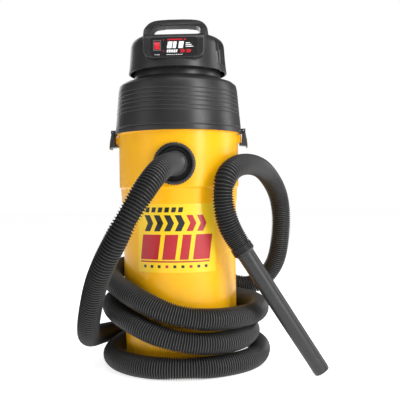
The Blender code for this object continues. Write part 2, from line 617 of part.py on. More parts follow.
def make_hose_fittings(black):
    """The cuff pushed into the inlet, the cuff on the wand, and the hollow tapered wand."""
    tank_cuff = turned("hose_cuff_tank", [
        (0.0190, 0.0980), (CUFF_RADIUS, 0.0980), (CUFF_RADIUS, 0.1128), (0.0260, 0.1128), (0.0260, 0.1160),
        (0.0215, 0.1210), (0.0190, 0.1210)], black, SMALL_ROUND)
    point_along(tank_cuff, (0, 0, INLET_HEIGHT), (0, -1, 0))
    down = WAND_TIP - WAND_TOP
    cuff = turned("hose_cuff_wand", [
        (0.0130, 0), (0.0205, 0), (0.0205, 0.0140), (0.0195, 0.0160), (WAND_TOP_RADIUS + 0.0006, 0.0160),
        (WAND_TOP_RADIUS + 0.0006, 0.0030), (0.0130, 0.0030)], black, SMALL_ROUND)
    point_along(cuff, WAND_TOP, down)
    length = down.length
    wand = turned("wand", [
        (WAND_TOP_RADIUS - 0.0025, 0.0034), (WAND_TOP_RADIUS, 0.0034), (WAND_TIP_RADIUS, length - 0.001),
        (WAND_TIP_RADIUS - 0.001, length), (WAND_TIP_RADIUS - 0.002, length)], black, SMALL_ROUND)
    point_along(wand, WAND_TOP, down)
    return [tank_cuff, cuff, wand]


def build():
    for old in list(bpy.data.objects):
        bpy.data.objects.remove(old)

    yellow = finish("tank_yellow", (0.93, 0.56, 0.01), 0.38)
    black = finish("moulded_black", (0.035, 0.035, 0.037), 0.5)
    hose_black = finish("hose_black", (0.022, 0.022, 0.023), 0.5)
    grey = finish("inner_grey", (0.12, 0.12, 0.125), 0.6)
    red = finish("rocker_red", (0.62, 0.02, 0.03), 0.35)
    rubber = finish("seal_rubber", (0.03, 0.03, 0.03), 0.8)
    foam = finish("filter_foam", (0.05, 0.05, 0.055), 0.95)
    ball_white = finish("float_white", (0.8, 0.8, 0.78), 0.4)
    bright_steel = finish("bright_steel", (0.6, 0.6, 0.6), 0.3, 1.0)
    iron = finish("core_iron", (0.3, 0.3, 0.31), 0.45, 1.0)
    copper = finish("coil_copper", (0.6, 0.25, 0.1), 0.4, 1.0)
    brass = finish("holder_brass", (0.65, 0.48, 0.2), 0.35, 1.0)
    carbon = finish("brush_carbon", (0.02, 0.02, 0.02), 0.6)
    aluminium = finish("fan_aluminium", (0.75, 0.75, 0.76), 0.35, 1.0)

    make_tank(yellow)
    make_inlet(black, grey)
    make_hanger(black, bright_steel)
    make_hose(hose_black)
    make_hose_fittings(black)

    latches, pins = make_latches(black, bright_steel)
    gasket, bulkhead, shell, cage, ball, sleeve, band = make_lid_inside(rubber, grey, black, foam)
    ball.data.materials[0] = ball_white
    plate, case, rocker = make_panel(black, red, grey)
    fixed = [make_lid(black), gasket, bulkhead, shell, cage, sleeve, band, make_housing(black),
             make_yoke(black), plate, case, make_gland(black), *pins, *make_head_screws(bright_steel),
             *make_motor_frame(iron, copper, grey, carbon, brass, bright_steel)]
    lid_origin = (0, 0, TANK_HEIGHT)
    lid_axis = joint_empty("lid_lift_axis", lid_origin, *fixed)

    for side, sign in LATCH_SIDES.items():
        place = (sign * LATCH_PIVOT_RADIUS, 0, LATCH_PIVOT_HEIGHT)
        carry(lid_axis, lid_origin, joint_empty(f"latch_{side}_axis", place, latches[side]))
    carry(lid_axis, lid_origin, joint_empty("rocker_axis", SWITCH_CENTRE, rocker))
    rotor = make_rotor(iron, copper, aluminium, black, bright_steel)
    carry(lid_axis, lid_origin, joint_empty("rotor_axis", (0, 0, 0.5600), *rotor))
    ball.location = (0, 0, 0.3495 + BALL_RADIUS + 0.0005)
    carry(lid_axis, lid_origin, ball)


build()
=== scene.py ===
"""Looks of a shop vacuum: yellow tank, black lid and motor head, long ribbed hose and its wand.

The pieces follow the order in which the machine is put together. Metres, +Z up, the hose inlet faces -Y.
"""
import math

import bmesh
import bpy
import numpy as np
from mathutils import Matrix, Vector


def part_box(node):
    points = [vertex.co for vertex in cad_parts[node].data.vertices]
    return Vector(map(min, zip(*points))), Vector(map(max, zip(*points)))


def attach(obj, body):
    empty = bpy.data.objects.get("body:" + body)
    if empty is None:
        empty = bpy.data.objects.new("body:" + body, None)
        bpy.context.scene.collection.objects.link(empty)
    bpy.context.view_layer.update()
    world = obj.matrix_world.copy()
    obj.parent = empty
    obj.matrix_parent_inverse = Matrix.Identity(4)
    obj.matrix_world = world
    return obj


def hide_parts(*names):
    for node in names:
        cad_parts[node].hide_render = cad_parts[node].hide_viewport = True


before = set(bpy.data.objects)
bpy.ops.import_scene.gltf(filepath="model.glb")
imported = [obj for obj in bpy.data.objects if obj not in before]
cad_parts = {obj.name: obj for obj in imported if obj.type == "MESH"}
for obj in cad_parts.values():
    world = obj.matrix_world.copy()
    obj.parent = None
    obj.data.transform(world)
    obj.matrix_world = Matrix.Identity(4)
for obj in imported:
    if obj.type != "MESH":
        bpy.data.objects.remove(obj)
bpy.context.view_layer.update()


# ---------------------------------------------------------------------------------------------------
# The studio. A pale seamless floor under a white surround, a tall soft box to the right that draws
# the long highlight down the tank, and weaker panels beside it, above, at the left and behind.

EYE = Vector((0.0849, -1.2128, 0.336))
TURNED_LEFT, TIPPED_DOWN, ROLLED = (math.radians(angle) for angle in (2.11, 0.99, 0.75))

ahead = Vector((-math.sin(TURNED_LEFT), math.cos(TURNED_LEFT), -math.tan(TIPPED_DOWN))).normalized()
level = ahead.cross(Vector((0, 0, 1))).normalized()
upright = level.cross(ahead)
camera_right = level * math.cos(ROLLED) - upright * math.sin(ROLLED)
camera_top = upright * math.cos(ROLLED) + level * math.sin(ROLLED)
camera = bpy.data.objects.new("camera", bpy.data.cameras.new("camera"))
camera.data.sensor_width = 36
camera.data.lens = 55.8
camera_turn = Matrix((camera_right, camera_top, -ahead)).transposed().to_4x4()
camera.matrix_world = Matrix.Translation(EYE) @ camera_turn
bpy.context.collection.objects.link(camera)
bpy.context.scene.camera = camera
bpy.context.scene.view_settings.view_transform = "Standard"


def soft_box(name, place, aim, width, height, watts):
    lamp = bpy.data.lights.new(name, "AREA")
    lamp.shape = "RECTANGLE"
    lamp.size = width
    lamp.size_y = height
    lamp.energy = watts
    box = bpy.data.objects.new(name, lamp)
    box.location = place
    box.rotation_euler = (Vector(aim) - Vector(place)).to_track_quat("-Z", "Y").to_euler()
    bpy.context.collection.objects.link(box)


soft_box("soft_box_right", (1.15, -1.22, 0.85), (0.0, 0.0, 0.33), 0.40, 1.5, 20)
soft_box("soft_box_edge", (1.60, 0.35, 0.70), (0.0, 0.0, 0.33), 0.5, 1.2, 7)
soft_box("soft_box_above", (0.35, -0.8, 1.75), (0.0, 0.0, 0.3), 1.0, 0.8, 11)
soft_box("soft_box_left", (-1.5, -0.9, 0.8), (0.0, 0.0, 0.3), 0.8, 1.2, 2.5)
soft_box("soft_box_behind", (-0.6, 1.5, 1.0), (0.0, 0.0, 0.4), 1.2, 1.0, 9)

SURROUND_SEEN, SURROUND_LIGHT = 1.0, 0.22
surround = bpy.data.worlds.new("surround")
surround.use_nodes = True
bpy.context.scene.world = surround
sky = surround.node_tree
seen = sky.nodes["Background"]
seen.inputs["Color"].default_value = (1, 1, 1, 1)
seen.inputs["Strength"].default_value = SURROUND_SEEN
shed = sky.nodes.new("ShaderNodeBackground")
shed.inputs["Color"].default_value = (1, 1, 1, 1)
shed.inputs["Strength"].default_value = SURROUND_LIGHT
ray = sky.nodes.new("ShaderNodeLightPath")
either = sky.nodes.new("ShaderNodeMixShader")
sky.links.new(ray.outputs["Is Camera Ray"], either.inputs["Fac"])
sky.links.new(shed.outputs["Background"], either.inputs[1])
sky.links.new(seen.outputs["Background"], either.inputs[2])
sky.links.new(either.outputs["Shader"], sky.nodes["World Output"].inputs["Surface"])

FLOOR_REACH = 9.0
FLOOR_GLOW = 0.78  # the paper is lit through from below, so it stays white away from the lamps
floor_mesh = bpy.data.meshes.new("studio_floor")
floor_work = bmesh.new()
bmesh.ops.create_circle(floor_work, cap_ends=True, segments=64, radius=FLOOR_REACH)
floor_work.to_mesh(floor_mesh)
floor_work.free()
studio_floor = bpy.data.objects.new("studio_floor", floor_mesh)
bpy.context.collection.objects.link(studio_floor)
paper = bpy.data.materials.new("floor_paper")
paper.use_nodes = True
paper_shader = paper.node_tree.nodes["Principled BSDF"]
paper_shader.inputs["Base Color"].default_value = (0.93, 0.93, 0.93, 1)
paper_shader.inputs["Roughness"].default_value = 0.75
paper_shader.inputs["Emission Color"].default_value = (1, 1, 1, 1)
paper_shader.inputs["Emission Strength"].default_value = FLOOR_GLOW
floor_mesh.materials.append(paper)


# ---------------------------------------------------------------------------------------------------
# The hose. Blow-moulded black vinyl with close ring ribs, 40 mm across and 4.26 m long. It leaves the
# inlet, falls down the left side, lies three turns round the tank and stands up in a loop on the
# right. Its ribs open out where its own weight stretches it, and close up at both cuffs.

HOSE_WIDTH = 0.040
RIB_DEPTH = 0.0041
HOSE_SIDES = 24
WAND_TOP = Vector((0.1152, -0.1058, 0.2342))
WAND_TIP = Vector((0.2583, -0.1038, 0.0082))
WAND_DOWN = (WAND_TIP - WAND_TOP).normalized()
HOSE_STOPS = [
    (0.000, -0.1213, 0.382), (0.000, -0.132, 0.382), (0.000, -0.147, 0.381), (-0.011, -0.170, 0.378),
    (-0.024, -0.196, 0.363), (-0.042, -0.216, 0.336), (-0.060, -0.227, 0.305), (-0.073, -0.231, 0.283),
    (-0.084, -0.228, 0.262), (-0.097, -0.221, 0.240), (-0.112, -0.209, 0.213), (-0.130, -0.184, 0.177),
    (-0.147, -0.150, 0.128), (-0.160, -0.110, 0.088), (-0.171, -0.041, 0.058), (-0.161, 0.055, 0.043),
    (-0.132, 0.125, 0.034), (-0.076, 0.167, 0.026), (-0.006, 0.182, 0.021), (0.064, 0.168, 0.021),
    (0.121, 0.124, 0.021), (0.151, 0.065, 0.021), (0.154, -0.001, 0.021), (0.131, -0.070, 0.021),
    (0.074, -0.115, 0.021), (0.009, -0.131, 0.021), (-0.056, -0.120, 0.021), (-0.106, -0.080, 0.021),
    (-0.132, -0.015, 0.021), (-0.118, 0.061, 0.026), (-0.069, 0.114, 0.034), (-0.005, 0.133, 0.043),
    (0.066, 0.117, 0.052), (0.114, 0.070, 0.059), (0.135, 0.005, 0.062), (0.117, -0.071, 0.062),
    (0.077, -0.113, 0.062), (0.025, -0.132, 0.066), (-0.027, -0.131, 0.078), (-0.080, -0.108, 0.098),
    (-0.123, -0.052, 0.113), (-0.132, 0.025, 0.119), (-0.100, 0.089, 0.117), (-0.039, 0.128, 0.113),
    (0.027, 0.131, 0.111), (0.086, 0.106, 0.110), (0.136, 0.065, 0.108), (0.153, 0.010, 0.105),
    (0.141, -0.047, 0.103), (0.108, -0.090, 0.103), (0.069, -0.119, 0.105), (0.025, -0.132, 0.110),
    (-0.027, -0.131, 0.124), (-0.084, -0.104, 0.148), (-0.120, -0.059, 0.163), (-0.134, -0.005, 0.173),
    (-0.121, 0.060, 0.179), (-0.070, 0.119, 0.179), (-0.005, 0.145, 0.170), (0.055, 0.154, 0.147),
    (0.101, 0.156, 0.131), (0.145, 0.149, 0.124), (0.173, 0.142, 0.142), (0.196, 0.132, 0.175),
    (0.205, 0.124, 0.216), (0.209, 0.118, 0.263), (0.207, 0.112, 0.299), (0.197, 0.097, 0.335),
    (0.172, 0.061, 0.370), (0.145, -0.005, 0.382), (0.118, -0.071, 0.380), (0.100, -0.103, 0.370),
    (0.088, -0.120, 0.353), (0.085, -0.121, 0.331), (0.086, -0.119, 0.306), (0.094, -0.113, 0.272),
]
STRAIGHT_END = (0.022, 0.010, 0.0003)  # the last points stand back from the wand's top by these
STOP_SPACING = 0.005
ABOVE_FLOOR = 0.0008


def run_of(line):
    """How far each point lies along a line of points."""
    return np.concatenate([[0.0], np.cumsum(np.linalg.norm(np.diff(line, axis=0), axis=1))])


def read_line(line, run, where):
    return np.stack([np.interp(where, run, line[:, k]) for k in range(3)], axis=1)


def even_line(line, count):
    run = run_of(line)
    return read_line(line, run, np.linspace(0, run[-1], count + 1))


def eased_line(line, passes, held):
    for _ in range(passes):
        before, after = line[held - 1:-held - 1], line[held + 1:len(line) - held + 1]
        line[held:-held] = (before + 2 * line[held:-held] + after) / 4
    return line


def smooth_line(stops, cuts=12):
    padded = np.vstack([2 * stops[0] - stops[1], stops, stops[-1]])
    line = [stops[0]]
    for before, start, end, after in zip(padded, padded[1:], padded[2:], padded[3:]):
        for t in np.arange(1, cuts + 1) / cuts:
            bend = (2 * before - 5 * start + 4 * end - after) * t * t
            twist = (3 * start - before - 3 * end + after) * t ** 3
            line.append(0.5 * (2 * start + (end - before) * t + bend + twist))
    return np.array(line)


stops = np.array(HOSE_STOPS + [tuple(WAND_TOP - WAND_DOWN * back) for back in STRAIGHT_END])
hose_line = smooth_line(stops)
hose_line = even_line(hose_line, round(run_of(hose_line)[-1] / STOP_SPACING))
hose_line = eased_line(hose_line, 14, 2)
hose_line[:, 2] = np.maximum(hose_line[:, 2], HOSE_WIDTH / 2 + ABOVE_FLOOR)
hose_line = eased_line(even_line(hose_line, 4 * len(hose_line)), 12, 1)
hose_run = run_of(hose_line)
HOSE_LENGTH = float(hose_run[-1])

# Rib pitch along the hose: close at the cuffs, drawn out down the front and above the wand.
from_end = HOSE_LENGTH - np.array([0.30, 0.16, 0.03, 0.012, 0.0])
pitch_at = [0, 0.035, 0.10, 0.42, 0.66, *from_end]
rib_pitch = np.interp(hose_run, pitch_at, [0.0032, 0.0034, 0.0052, 0.0058, 0.0043,
                                           0.0042, 0.0052, 0.0050, 0.0036, 0.0034])
rib_phase = np.concatenate([[0.0], np.cumsum(np.diff(hose_run) * 2 / (rib_pitch[1:] + rib_pitch[:-1]))])
rib_count = round(rib_phase[-1])
rib_phase *= rib_count / rib_phase[-1]

ring_phase, ring_swell = [], []
for rib in range(rib_count):
    stretch = np.interp(np.interp(rib, rib_phase, rib_pitch), [0.0042, 0.0056], [0, 1])
    flank = 0.27 + 0.10 * stretch
    shoulder = 0.50 - 0.32 * stretch
    ring_phase += [rib, rib + flank, rib + 0.5, rib + 1 - flank]
    ring_swell += [0.0, shoulder, 1.0, shoulder]
ring_phase.append(rib_count)
ring_swell.append(0.0)
ring_swell = np.array(ring_swell)
ring_run = np.interp(ring_phase, rib_phase, hose_run)
ring_centre = read_line(hose_line, hose_run, ring_run)
slope = np.gradient(hose_line, axis=0)
ring_ahead = read_line(slope, hose_run, ring_run)
ring_ahead /= np.linalg.norm(ring_ahead, axis=1)[:, None]
ring_side = np.empty_like(ring_ahead)
side = np.array([0.0, 0.0, 1.0])
for k, forward in enumerate(ring_ahead):
    side = side - forward * (side @ forward)
    side /= np.linalg.norm(side)
    ring_side[k] = side
ring_other = np.cross(ring_ahead, ring_side)
ring_radius = HOSE_WIDTH / 2 - RIB_DEPTH * (1 - ring_swell)
spokes = np.arange(HOSE_SIDES) * math.tau / HOSE_SIDES
around = (np.cos(spokes)[None, :, None] * ring_side[:, None]
          + np.sin(spokes)[None, :, None] * ring_other[:, None])
hose_points = (ring_centre[:, None] + ring_radius[:, None, None] * around).reshape(-1, 3)
first = np.arange(len(ring_centre) - 1)[:, None] * HOSE_SIDES
corner = first + np.arange(HOSE_SIDES)[None]
corner_next = first + (np.arange(HOSE_SIDES)[None] + 1) % HOSE_SIDES
hose_faces = np.stack([corner, corner_next, corner_next + HOSE_SIDES, corner + HOSE_SIDES], axis=2)
hose_faces = hose_faces.reshape(-1, 4).tolist()
hose_faces.append(list(range(HOSE_SIDES))[::-1])
hose_faces.append(list(range(len(hose_points) - HOSE_SIDES, len(hose_points))))
hose_mesh = bpy.data.meshes.new("ribbed_hose")
hose_mesh.from_pydata(hose_points.tolist(), [], hose_faces)
crest = hose_mesh.attributes.new("crest", "FLOAT", "POINT")
crest.data.foreach_set("value", np.repeat(ring_swell, HOSE_SIDES).astype(np.float32))
hose_mesh.shade_smooth()
ribbed_hose = bpy.data.objects.new("ribbed_hose", hose_mesh)
bpy.context.collection.objects.link(ribbed_hose)


def node(tree, kind, **settings):
    """A new node. A setting that isn't one of its properties is the value of that input."""
    made = tree.nodes.new(kind)
    for name, value in settings.items():
        if hasattr(made, name):
            setattr(made, name, value)
        else:
            made.inputs[name.replace("_", " ").title()].default_value = value
    return made


def wire(tree, *pairs):
    for source, target in pairs:
        tree.links.new(source, target)


def mixed(tree, factor, low, high):
    """The colour between low and high, each a socket or a plain colour."""
    mix = tree.nodes.new("ShaderNodeMix")
    mix.data_type = "RGBA"
    tree.links.new(factor, mix.inputs[0])
    for end, colour in ((mix.inputs[6], low), (mix.inputs[7], high)):
        if isinstance(colour, bpy.types.NodeSocket):
            tree.links.new(colour, end)
        else:
            end.default_value = (*colour, 1)
    return mix.outputs[2]


def spread(tree, value, low, high, start=0.0, end=1.0):
    """A value rescaled so that start gives low and end gives high."""
    scale = tree.nodes.new("ShaderNodeMapRange")
    for name, number in zip(("From Min", "From Max", "To Min", "To Max"), (start, end, low, high)):
        scale.inputs[name].default_value = number
    tree.links.new(value, scale.inputs["Value"])
    return scale.outputs["Result"]


def shared_effect(name, inputs, outputs):
    tree = bpy.data.node_groups.new(name, "ShaderNodeTree")
    for label, kind, value in inputs:
        socket = tree.interface.new_socket(name=label, in_out="INPUT", socket_type=kind)
        if value is not None:
            socket.default_value = value
    for label, kind in outputs:
        tree.interface.new_socket(name=label, in_out="OUTPUT", socket_type=kind)
    return tree, tree.nodes.new("NodeGroupInput"), tree.nodes.new("NodeGroupOutput")


def effect(tree, group, **values):
    made = tree.nodes.new("ShaderNodeGroup")
    made.node_tree = group
    for name, value in values.items():
        made.inputs[name].default_value = value
    return made


# Moulded grain: the fine pebbled skin that a mould leaves, and the slow drift of tone under it.
mould_grain, given, out = shared_effect(
    "mould_grain", [("Place", "NodeSocketVector", None), ("Scale", "NodeSocketFloat", 900.0)],
    [("Height", "NodeSocketFloat"), ("Tone", "NodeSocketFloat")])
pebble = node(mould_grain, "ShaderNodeTexNoise", detail=3.0, roughness=0.6)
drift = node(mould_grain, "ShaderNodeTexNoise", scale=14.0, detail=4.0, roughness=0.55)
wire(mould_grain, (given.outputs["Place"], pebble.inputs["Vector"]),
     (given.outputs["Scale"], pebble.inputs["Scale"]), (given.outputs["Place"], drift.inputs["Vector"]),
     (pebble.outputs["Fac"], out.inputs["Height"]),
     (spread(mould_grain, drift.outputs["Fac"], 0, 1, 0.3, 0.7), out.inputs["Tone"]))

# Handling marks: fine scratches that run one way or another in patches, where hands and floors rub.
handling, given, out = shared_effect(
    "handling_marks", [("Place", "NodeSocketVector", None), ("Amount", "NodeSocketFloat", 0.3)],
    [("Marks", "NodeSocketFloat")])
stretch = node(handling, "ShaderNodeMapping")
stretch.inputs["Scale"].default_value = (60, 45, 900)
stretch.inputs["Rotation"].default_value = (0.5, 0.3, 0.7)
scratch = node(handling, "ShaderNodeTexNoise", scale=1.0, detail=2.0)
patch = node(handling, "ShaderNodeTexNoise", scale=22.0, detail=2.0)
both = node(handling, "ShaderNodeMath", operation="MULTIPLY")
scaled = node(handling, "ShaderNodeMath", operation="MULTIPLY")
wire(handling, (given.outputs["Place"], stretch.inputs["Vector"]),
     (stretch.outputs["Vector"], scratch.inputs["Vector"]), (given.outputs["Place"], patch.inputs["Vector"]),
     (spread(handling, scratch.outputs["Fac"], 0, 1, 0.60, 0.68), both.inputs[0]),
     (spread(handling, patch.outputs["Fac"], 0, 1, 0.50, 0.62), both.inputs[1]),
     (both.outputs[0], scaled.inputs[0]), (given.outputs["Amount"], scaled.inputs[1]),
     (scaled.outputs[0], out.inputs["Marks"]))


def plastic(name, colour, drifted, rubbed, rough, grain=900.0, depth=0.00006, marks=0.35, coat=0.0):
    """A moulded plastic: its colour, the colour its tone drifts to, and the colour of its rubbed marks."""
    look = bpy.data.materials.new(name)
    look.use_nodes = True
    tree = look.node_tree
    shader = tree.nodes["Principled BSDF"]
    shader.inputs["Coat Weight"].default_value = coat
    shader.inputs["Coat Roughness"].default_value = 0.12
    place = node(tree, "ShaderNodeTexCoord")
    skin = effect(tree, mould_grain, Scale=grain)
    rubs = effect(tree, handling, Amount=marks)
    bump = node(tree, "ShaderNodeBump", strength=0.5, distance=depth)
    toned = mixed(tree, skin.outputs["Tone"], colour, drifted)
    wire(tree, (place.outputs["Object"], skin.inputs["Place"]),
         (place.outputs["Object"], rubs.inputs["Place"]),
         (mixed(tree, rubs.outputs["Marks"], toned, rubbed), shader.inputs["Base Color"]),
         (spread(tree, skin.outputs["Tone"], rough - 0.05, rough + 0.05), shader.inputs["Roughness"]),
         (skin.outputs["Height"], bump.inputs["Height"]), (bump.outputs["Normal"], shader.inputs["Normal"]))
    return look


def ribbed_vinyl():
    """Black vinyl: the tops of the ribs are glossier and painted lighter as a painted highlight, and the
    grooves are painted darker as painted shade.
    """
    look = plastic("hose_vinyl", (0.003, 0.003, 0.003), (0.005, 0.005, 0.005), (0.03, 0.03, 0.03), 0.40)
    tree = look.node_tree
    shader = tree.nodes["Principled BSDF"]
    high = node(tree, "ShaderNodeAttribute", attribute_name="crest")
    body = shader.inputs["Base Color"].links[0].from_socket
    # Painted shade darkens the grooves, and a painted highlight lightens the tops of the ribs.
    groove_painted_shade = mixed(tree, spread(tree, high.outputs["Fac"], 1, 0, 0.0, 0.6), body, (0.001, 0.001, 0.001))
    crest_painted_highlight = mixed(tree, spread(tree, high.outputs["Fac"], 0, 1, 0.6, 1.0), groove_painted_shade, (0.075, 0.075, 0.077))
    wire(tree, (crest_painted_highlight, shader.inputs["Base Color"]),
         (spread(tree, high.outputs["Fac"], 0.85, 0.22, 0.4, 1.0), shader.inputs["Roughness"]))
    return look


hose_mesh.materials.append(ribbed_vinyl())
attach(ribbed_hose, "base")
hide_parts("hose")


# ---------------------------------------------------------------------------------------------------
# The hose's two cuffs and the wand. The cuffs are screwed onto the ribs; the one at the tank pushes
# into the inlet, the other shows a short band of fine thread. The wand is one smooth tapered tube.

CUFF_WIDTH = 0.0232
INLET_HEIGHT = 0.382
WAND_TOP_RADIUS, WAND_TIP_RADIUS = 0.0160, 0.0145
WAND_LENGTH = (WAND_TIP - WAND_TOP).length


def eased(outline, reach, steps=4):
    """A closed outline with its corners rounded over a reach. Points on the axis stay."""
    result = []
    for i, here in enumerate(outline):
        before, after = Vector(outline[i - 1]), Vector(outline[(i + 1) % len(outline)])
        here = Vector(here)
        back, on = before - here, after - here
        straight = back.length < 1e-9 or on.length < 1e-9 or back.angle(on) > math.radians(172)
        if here.x == 0 or straight:
            result.append(tuple(here))
            continue
        start = here + back.normalized() * min(reach, back.length * 0.45)
        end = here + on.normalized() * min(reach, on.length * 0.45)
        for k in range(steps + 1):
            t = k / steps
            result.append(tuple(start * (1 - t) ** 2 + here * 2 * t * (1 - t) + end * t * t))
    return result


def stood(place, direction):
    """The matrix that stands local Z along a direction at a place."""
    turn = Vector((0, 0, 1)).rotation_difference(Vector(direction))
    return Matrix.Translation(place) @ turn.to_matrix().to_4x4()


def piece_from(name, work, look, crisp=30):
    """A finished object from loose faces: merged, facing out, smooth but for its crisp edges."""
    bmesh.ops.remove_doubles(work, verts=work.verts, dist=1e-6)
    bmesh.ops.recalc_face_normals(work, faces=work.faces)
    mesh = bpy.data.meshes.new(name)
    work.to_mesh(mesh)
    work.free()
    mesh.shade_smooth()
    mesh.set_sharp_from_angle(angle=math.radians(crisp))
    if look:
        mesh.materials.append(look)
    piece = bpy.data.objects.new(name, mesh)
    bpy.context.collection.objects.link(piece)
    return piece


def turned(name, outline, look, sides=96, place=(0, 0, 0), direction=(0, 0, 1), crisp=30):
    """A closed outline of (radius, height) points spun about its own axis, stood in its place."""
    work = bmesh.new()
    columns = []
    for radius, height in outline:
        if radius == 0:
            columns.append([work.verts.new((0, 0, height))] * sides)
            continue
        angles = [math.tau * k / sides for k in range(sides)]
        columns.append([work.verts.new((radius * math.cos(a), radius * math.sin(a), height)) for a in angles])
    for i, column in enumerate(columns):
        after = columns[(i + 1) % len(columns)]
        for k in range(sides):
            n = (k + 1) % sides
            distinct = list(dict.fromkeys([column[k], column[n], after[n], after[k]]))
            if len(distinct) > 2:
                work.faces.new(distinct)
    bmesh.ops.transform(work, matrix=stood(place, direction), verts=work.verts)
    return piece_from(name, work, look, crisp)


def fit(piece, body, slot, *nodes):
    """The piece rides on its body and stands for its CAD nodes, which it hides. The slot is not used."""
    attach(piece, body)
    if nodes:
        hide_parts(*nodes)
    return piece


matte_black = plastic("matte_black", (0.014, 0.014, 0.0145), (0.019, 0.019, 0.0195), (0.06, 0.06, 0.06), 0.35)
cuff_black = plastic("cuff_black", (0.013, 0.013, 0.014), (0.018, 0.018, 0.019), (0.06, 0.06, 0.06), 0.4)
wand_black = plastic("wand_black", (0.017, 0.017, 0.018), (0.023, 0.023, 0.024), (0.08, 0.08, 0.08), 0.44,
                     marks=0.6)

cuff_outline = [(0.0190, 0.0980), (CUFF_WIDTH, 0.0980), (CUFF_WIDTH, 0.1128), (0.0260, 0.1128),
                (0.0260, 0.1160), (0.0215, 0.1210), (0.0190, 0.1210)]
tank_cuff = turned("tank_cuff", eased(cuff_outline, 0.0012), cuff_black, 64, (0, 0, INLET_HEIGHT), (0, -1, 0))
fit(tank_cuff, "base", "moulded_black", "hose_cuff_tank")

thread_outline = [(0.0150, 0.0), (0.0198, 0.0)]
for turn in range(5):
    foot = 0.0006 + 0.0026 * turn
    thread_outline += [(0.0192, foot), (0.0204, foot + 0.0008), (0.0204, foot + 0.0013),
                       (0.0192, foot + 0.0021)]
thread_outline += [(0.0188, 0.0140), (0.0172, 0.0160), (0.0166, 0.0160), (0.0166, 0.0030), (0.0150, 0.0030)]
thread_cuff = turned("wand_cuff", eased(thread_outline, 0.0003, 2), cuff_black, 64, WAND_TOP, WAND_DOWN, 50)
fit(thread_cuff, "base", "moulded_black", "hose_cuff_wand")

wand_outline = [(WAND_TOP_RADIUS - 0.0025, 0.0034), (WAND_TOP_RADIUS, 0.0034),
                (WAND_TOP_RADIUS - 0.0002, 0.0400), (WAND_TIP_RADIUS + 0.0002, WAND_LENGTH - 0.0060),
                (WAND_TIP_RADIUS - 0.0006, WAND_LENGTH), (WAND_TIP_RADIUS - 0.0020, WAND_LENGTH)]
smooth_wand = turned("smooth_wand", eased(wand_outline, 0.0006), wand_black, 72, WAND_TOP, WAND_DOWN)
fit(smooth_wand, "base", "hose_black", "wand")


# ---------------------------------------------------------------------------------------------------
# The tank. One glossy yellow moulding, drawn in below a step under its shoulder, with a rolled rim
# and a lug at each side for a latch. The inlet's hole goes right through its front.

TANK_PROFILE = [(0.0990, 0.0), (0.1035, 0.0018), (0.1050, 0.0060), (0.1075, 0.0500), (0.1087, 0.1170),
                (0.1090, 0.2000), (0.1108, 0.3115), (0.1115, 0.3125), (0.1130, 0.3385), (0.1157, 0.3405),
                (0.1157, 0.4415), (0.1190, 0.4424), (0.1190, 0.4455)]
TANK_INSIDE = [(0.1128, 0.4455), (0.1127, 0.3420), (0.1100, 0.3395), (0.1078, 0.3110), (0.1060, 0.2000),
               (0.1057, 0.1170), (0.1045, 0.0500), (0.1022, 0.0090), (0.0970, 0.0035), (0, 0.0035)]
TANK_SIDES = 160
SIDES = {"left": -1, "right": 1}


def extruded(name, outline, axis, low, high, look, rounded=0.0):
    """A flat outline pushed along "x", "y" or "z", with its edges rounded."""
    order = {"x": (2, 0, 1), "y": (0, 2, 1), "z": (0, 1, 2)}[axis]
    work = bmesh.new()
    ends = []
    for depth in (low, high):
        ends.append([work.verts.new([(a, b, depth)[k] for k in order]) for a, b in outline])
    work.faces.new(ends[0])
    work.faces.new(ends[1])
    for i in range(len(outline)):
        n = (i + 1) % len(outline)
        work.faces.new([ends[0][i], ends[0][n], ends[1][n], ends[1][i]])
    if rounded:
        bmesh.ops.recalc_face_normals(work, faces=work.faces)
        rims = [edge for edge in work.edges if edge.calc_face_angle(0) > math.radians(40)]
        bmesh.ops.bevel(work, geom=rims, offset=rounded, segments=3, affect="EDGES", profile=0.6)
    return piece_from(name, work, look)


def box_outline(low, high):
    return [(low[0], low[1]), (high[0], low[1]), (high[0], high[1]), (low[0], high[1])]


def cuboid(name, low, high, look=None, rounded=0.0):
    return extruded(name, box_outline(low, high), "z", low[2], high[2], look, rounded)


def settled(piece, crisp=30):
    """The piece with its modifiers worked into its mesh."""
    graph = bpy.context.evaluated_depsgraph_get()
    mesh = bpy.data.meshes.new_from_object(piece.evaluated_get(graph))
    piece.modifiers.clear()
    piece.data = mesh
    mesh.shade_smooth()
    mesh.set_sharp_from_angle(angle=math.radians(crisp))
    return piece


def worked(piece, operation, *tools):
    """The piece with tools cut away ("DIFFERENCE"), joined on ("UNION") or kept in common ("INTERSECT")."""
    for tool in tools:
        step = piece.modifiers.new(tool.name, "BOOLEAN")
        step.operation = operation
        step.solver = "EXACT"
        step.object = tool
    settled(piece)
    for tool in tools:
        bpy.data.objects.remove(tool)
    return piece


def post(name, radius, place, direction, length, sides=32, look=None):
    outline = [(0, 0), (radius, 0), (radius, length), (0, length)]
    return turned(name, outline, look, sides, place, direction)


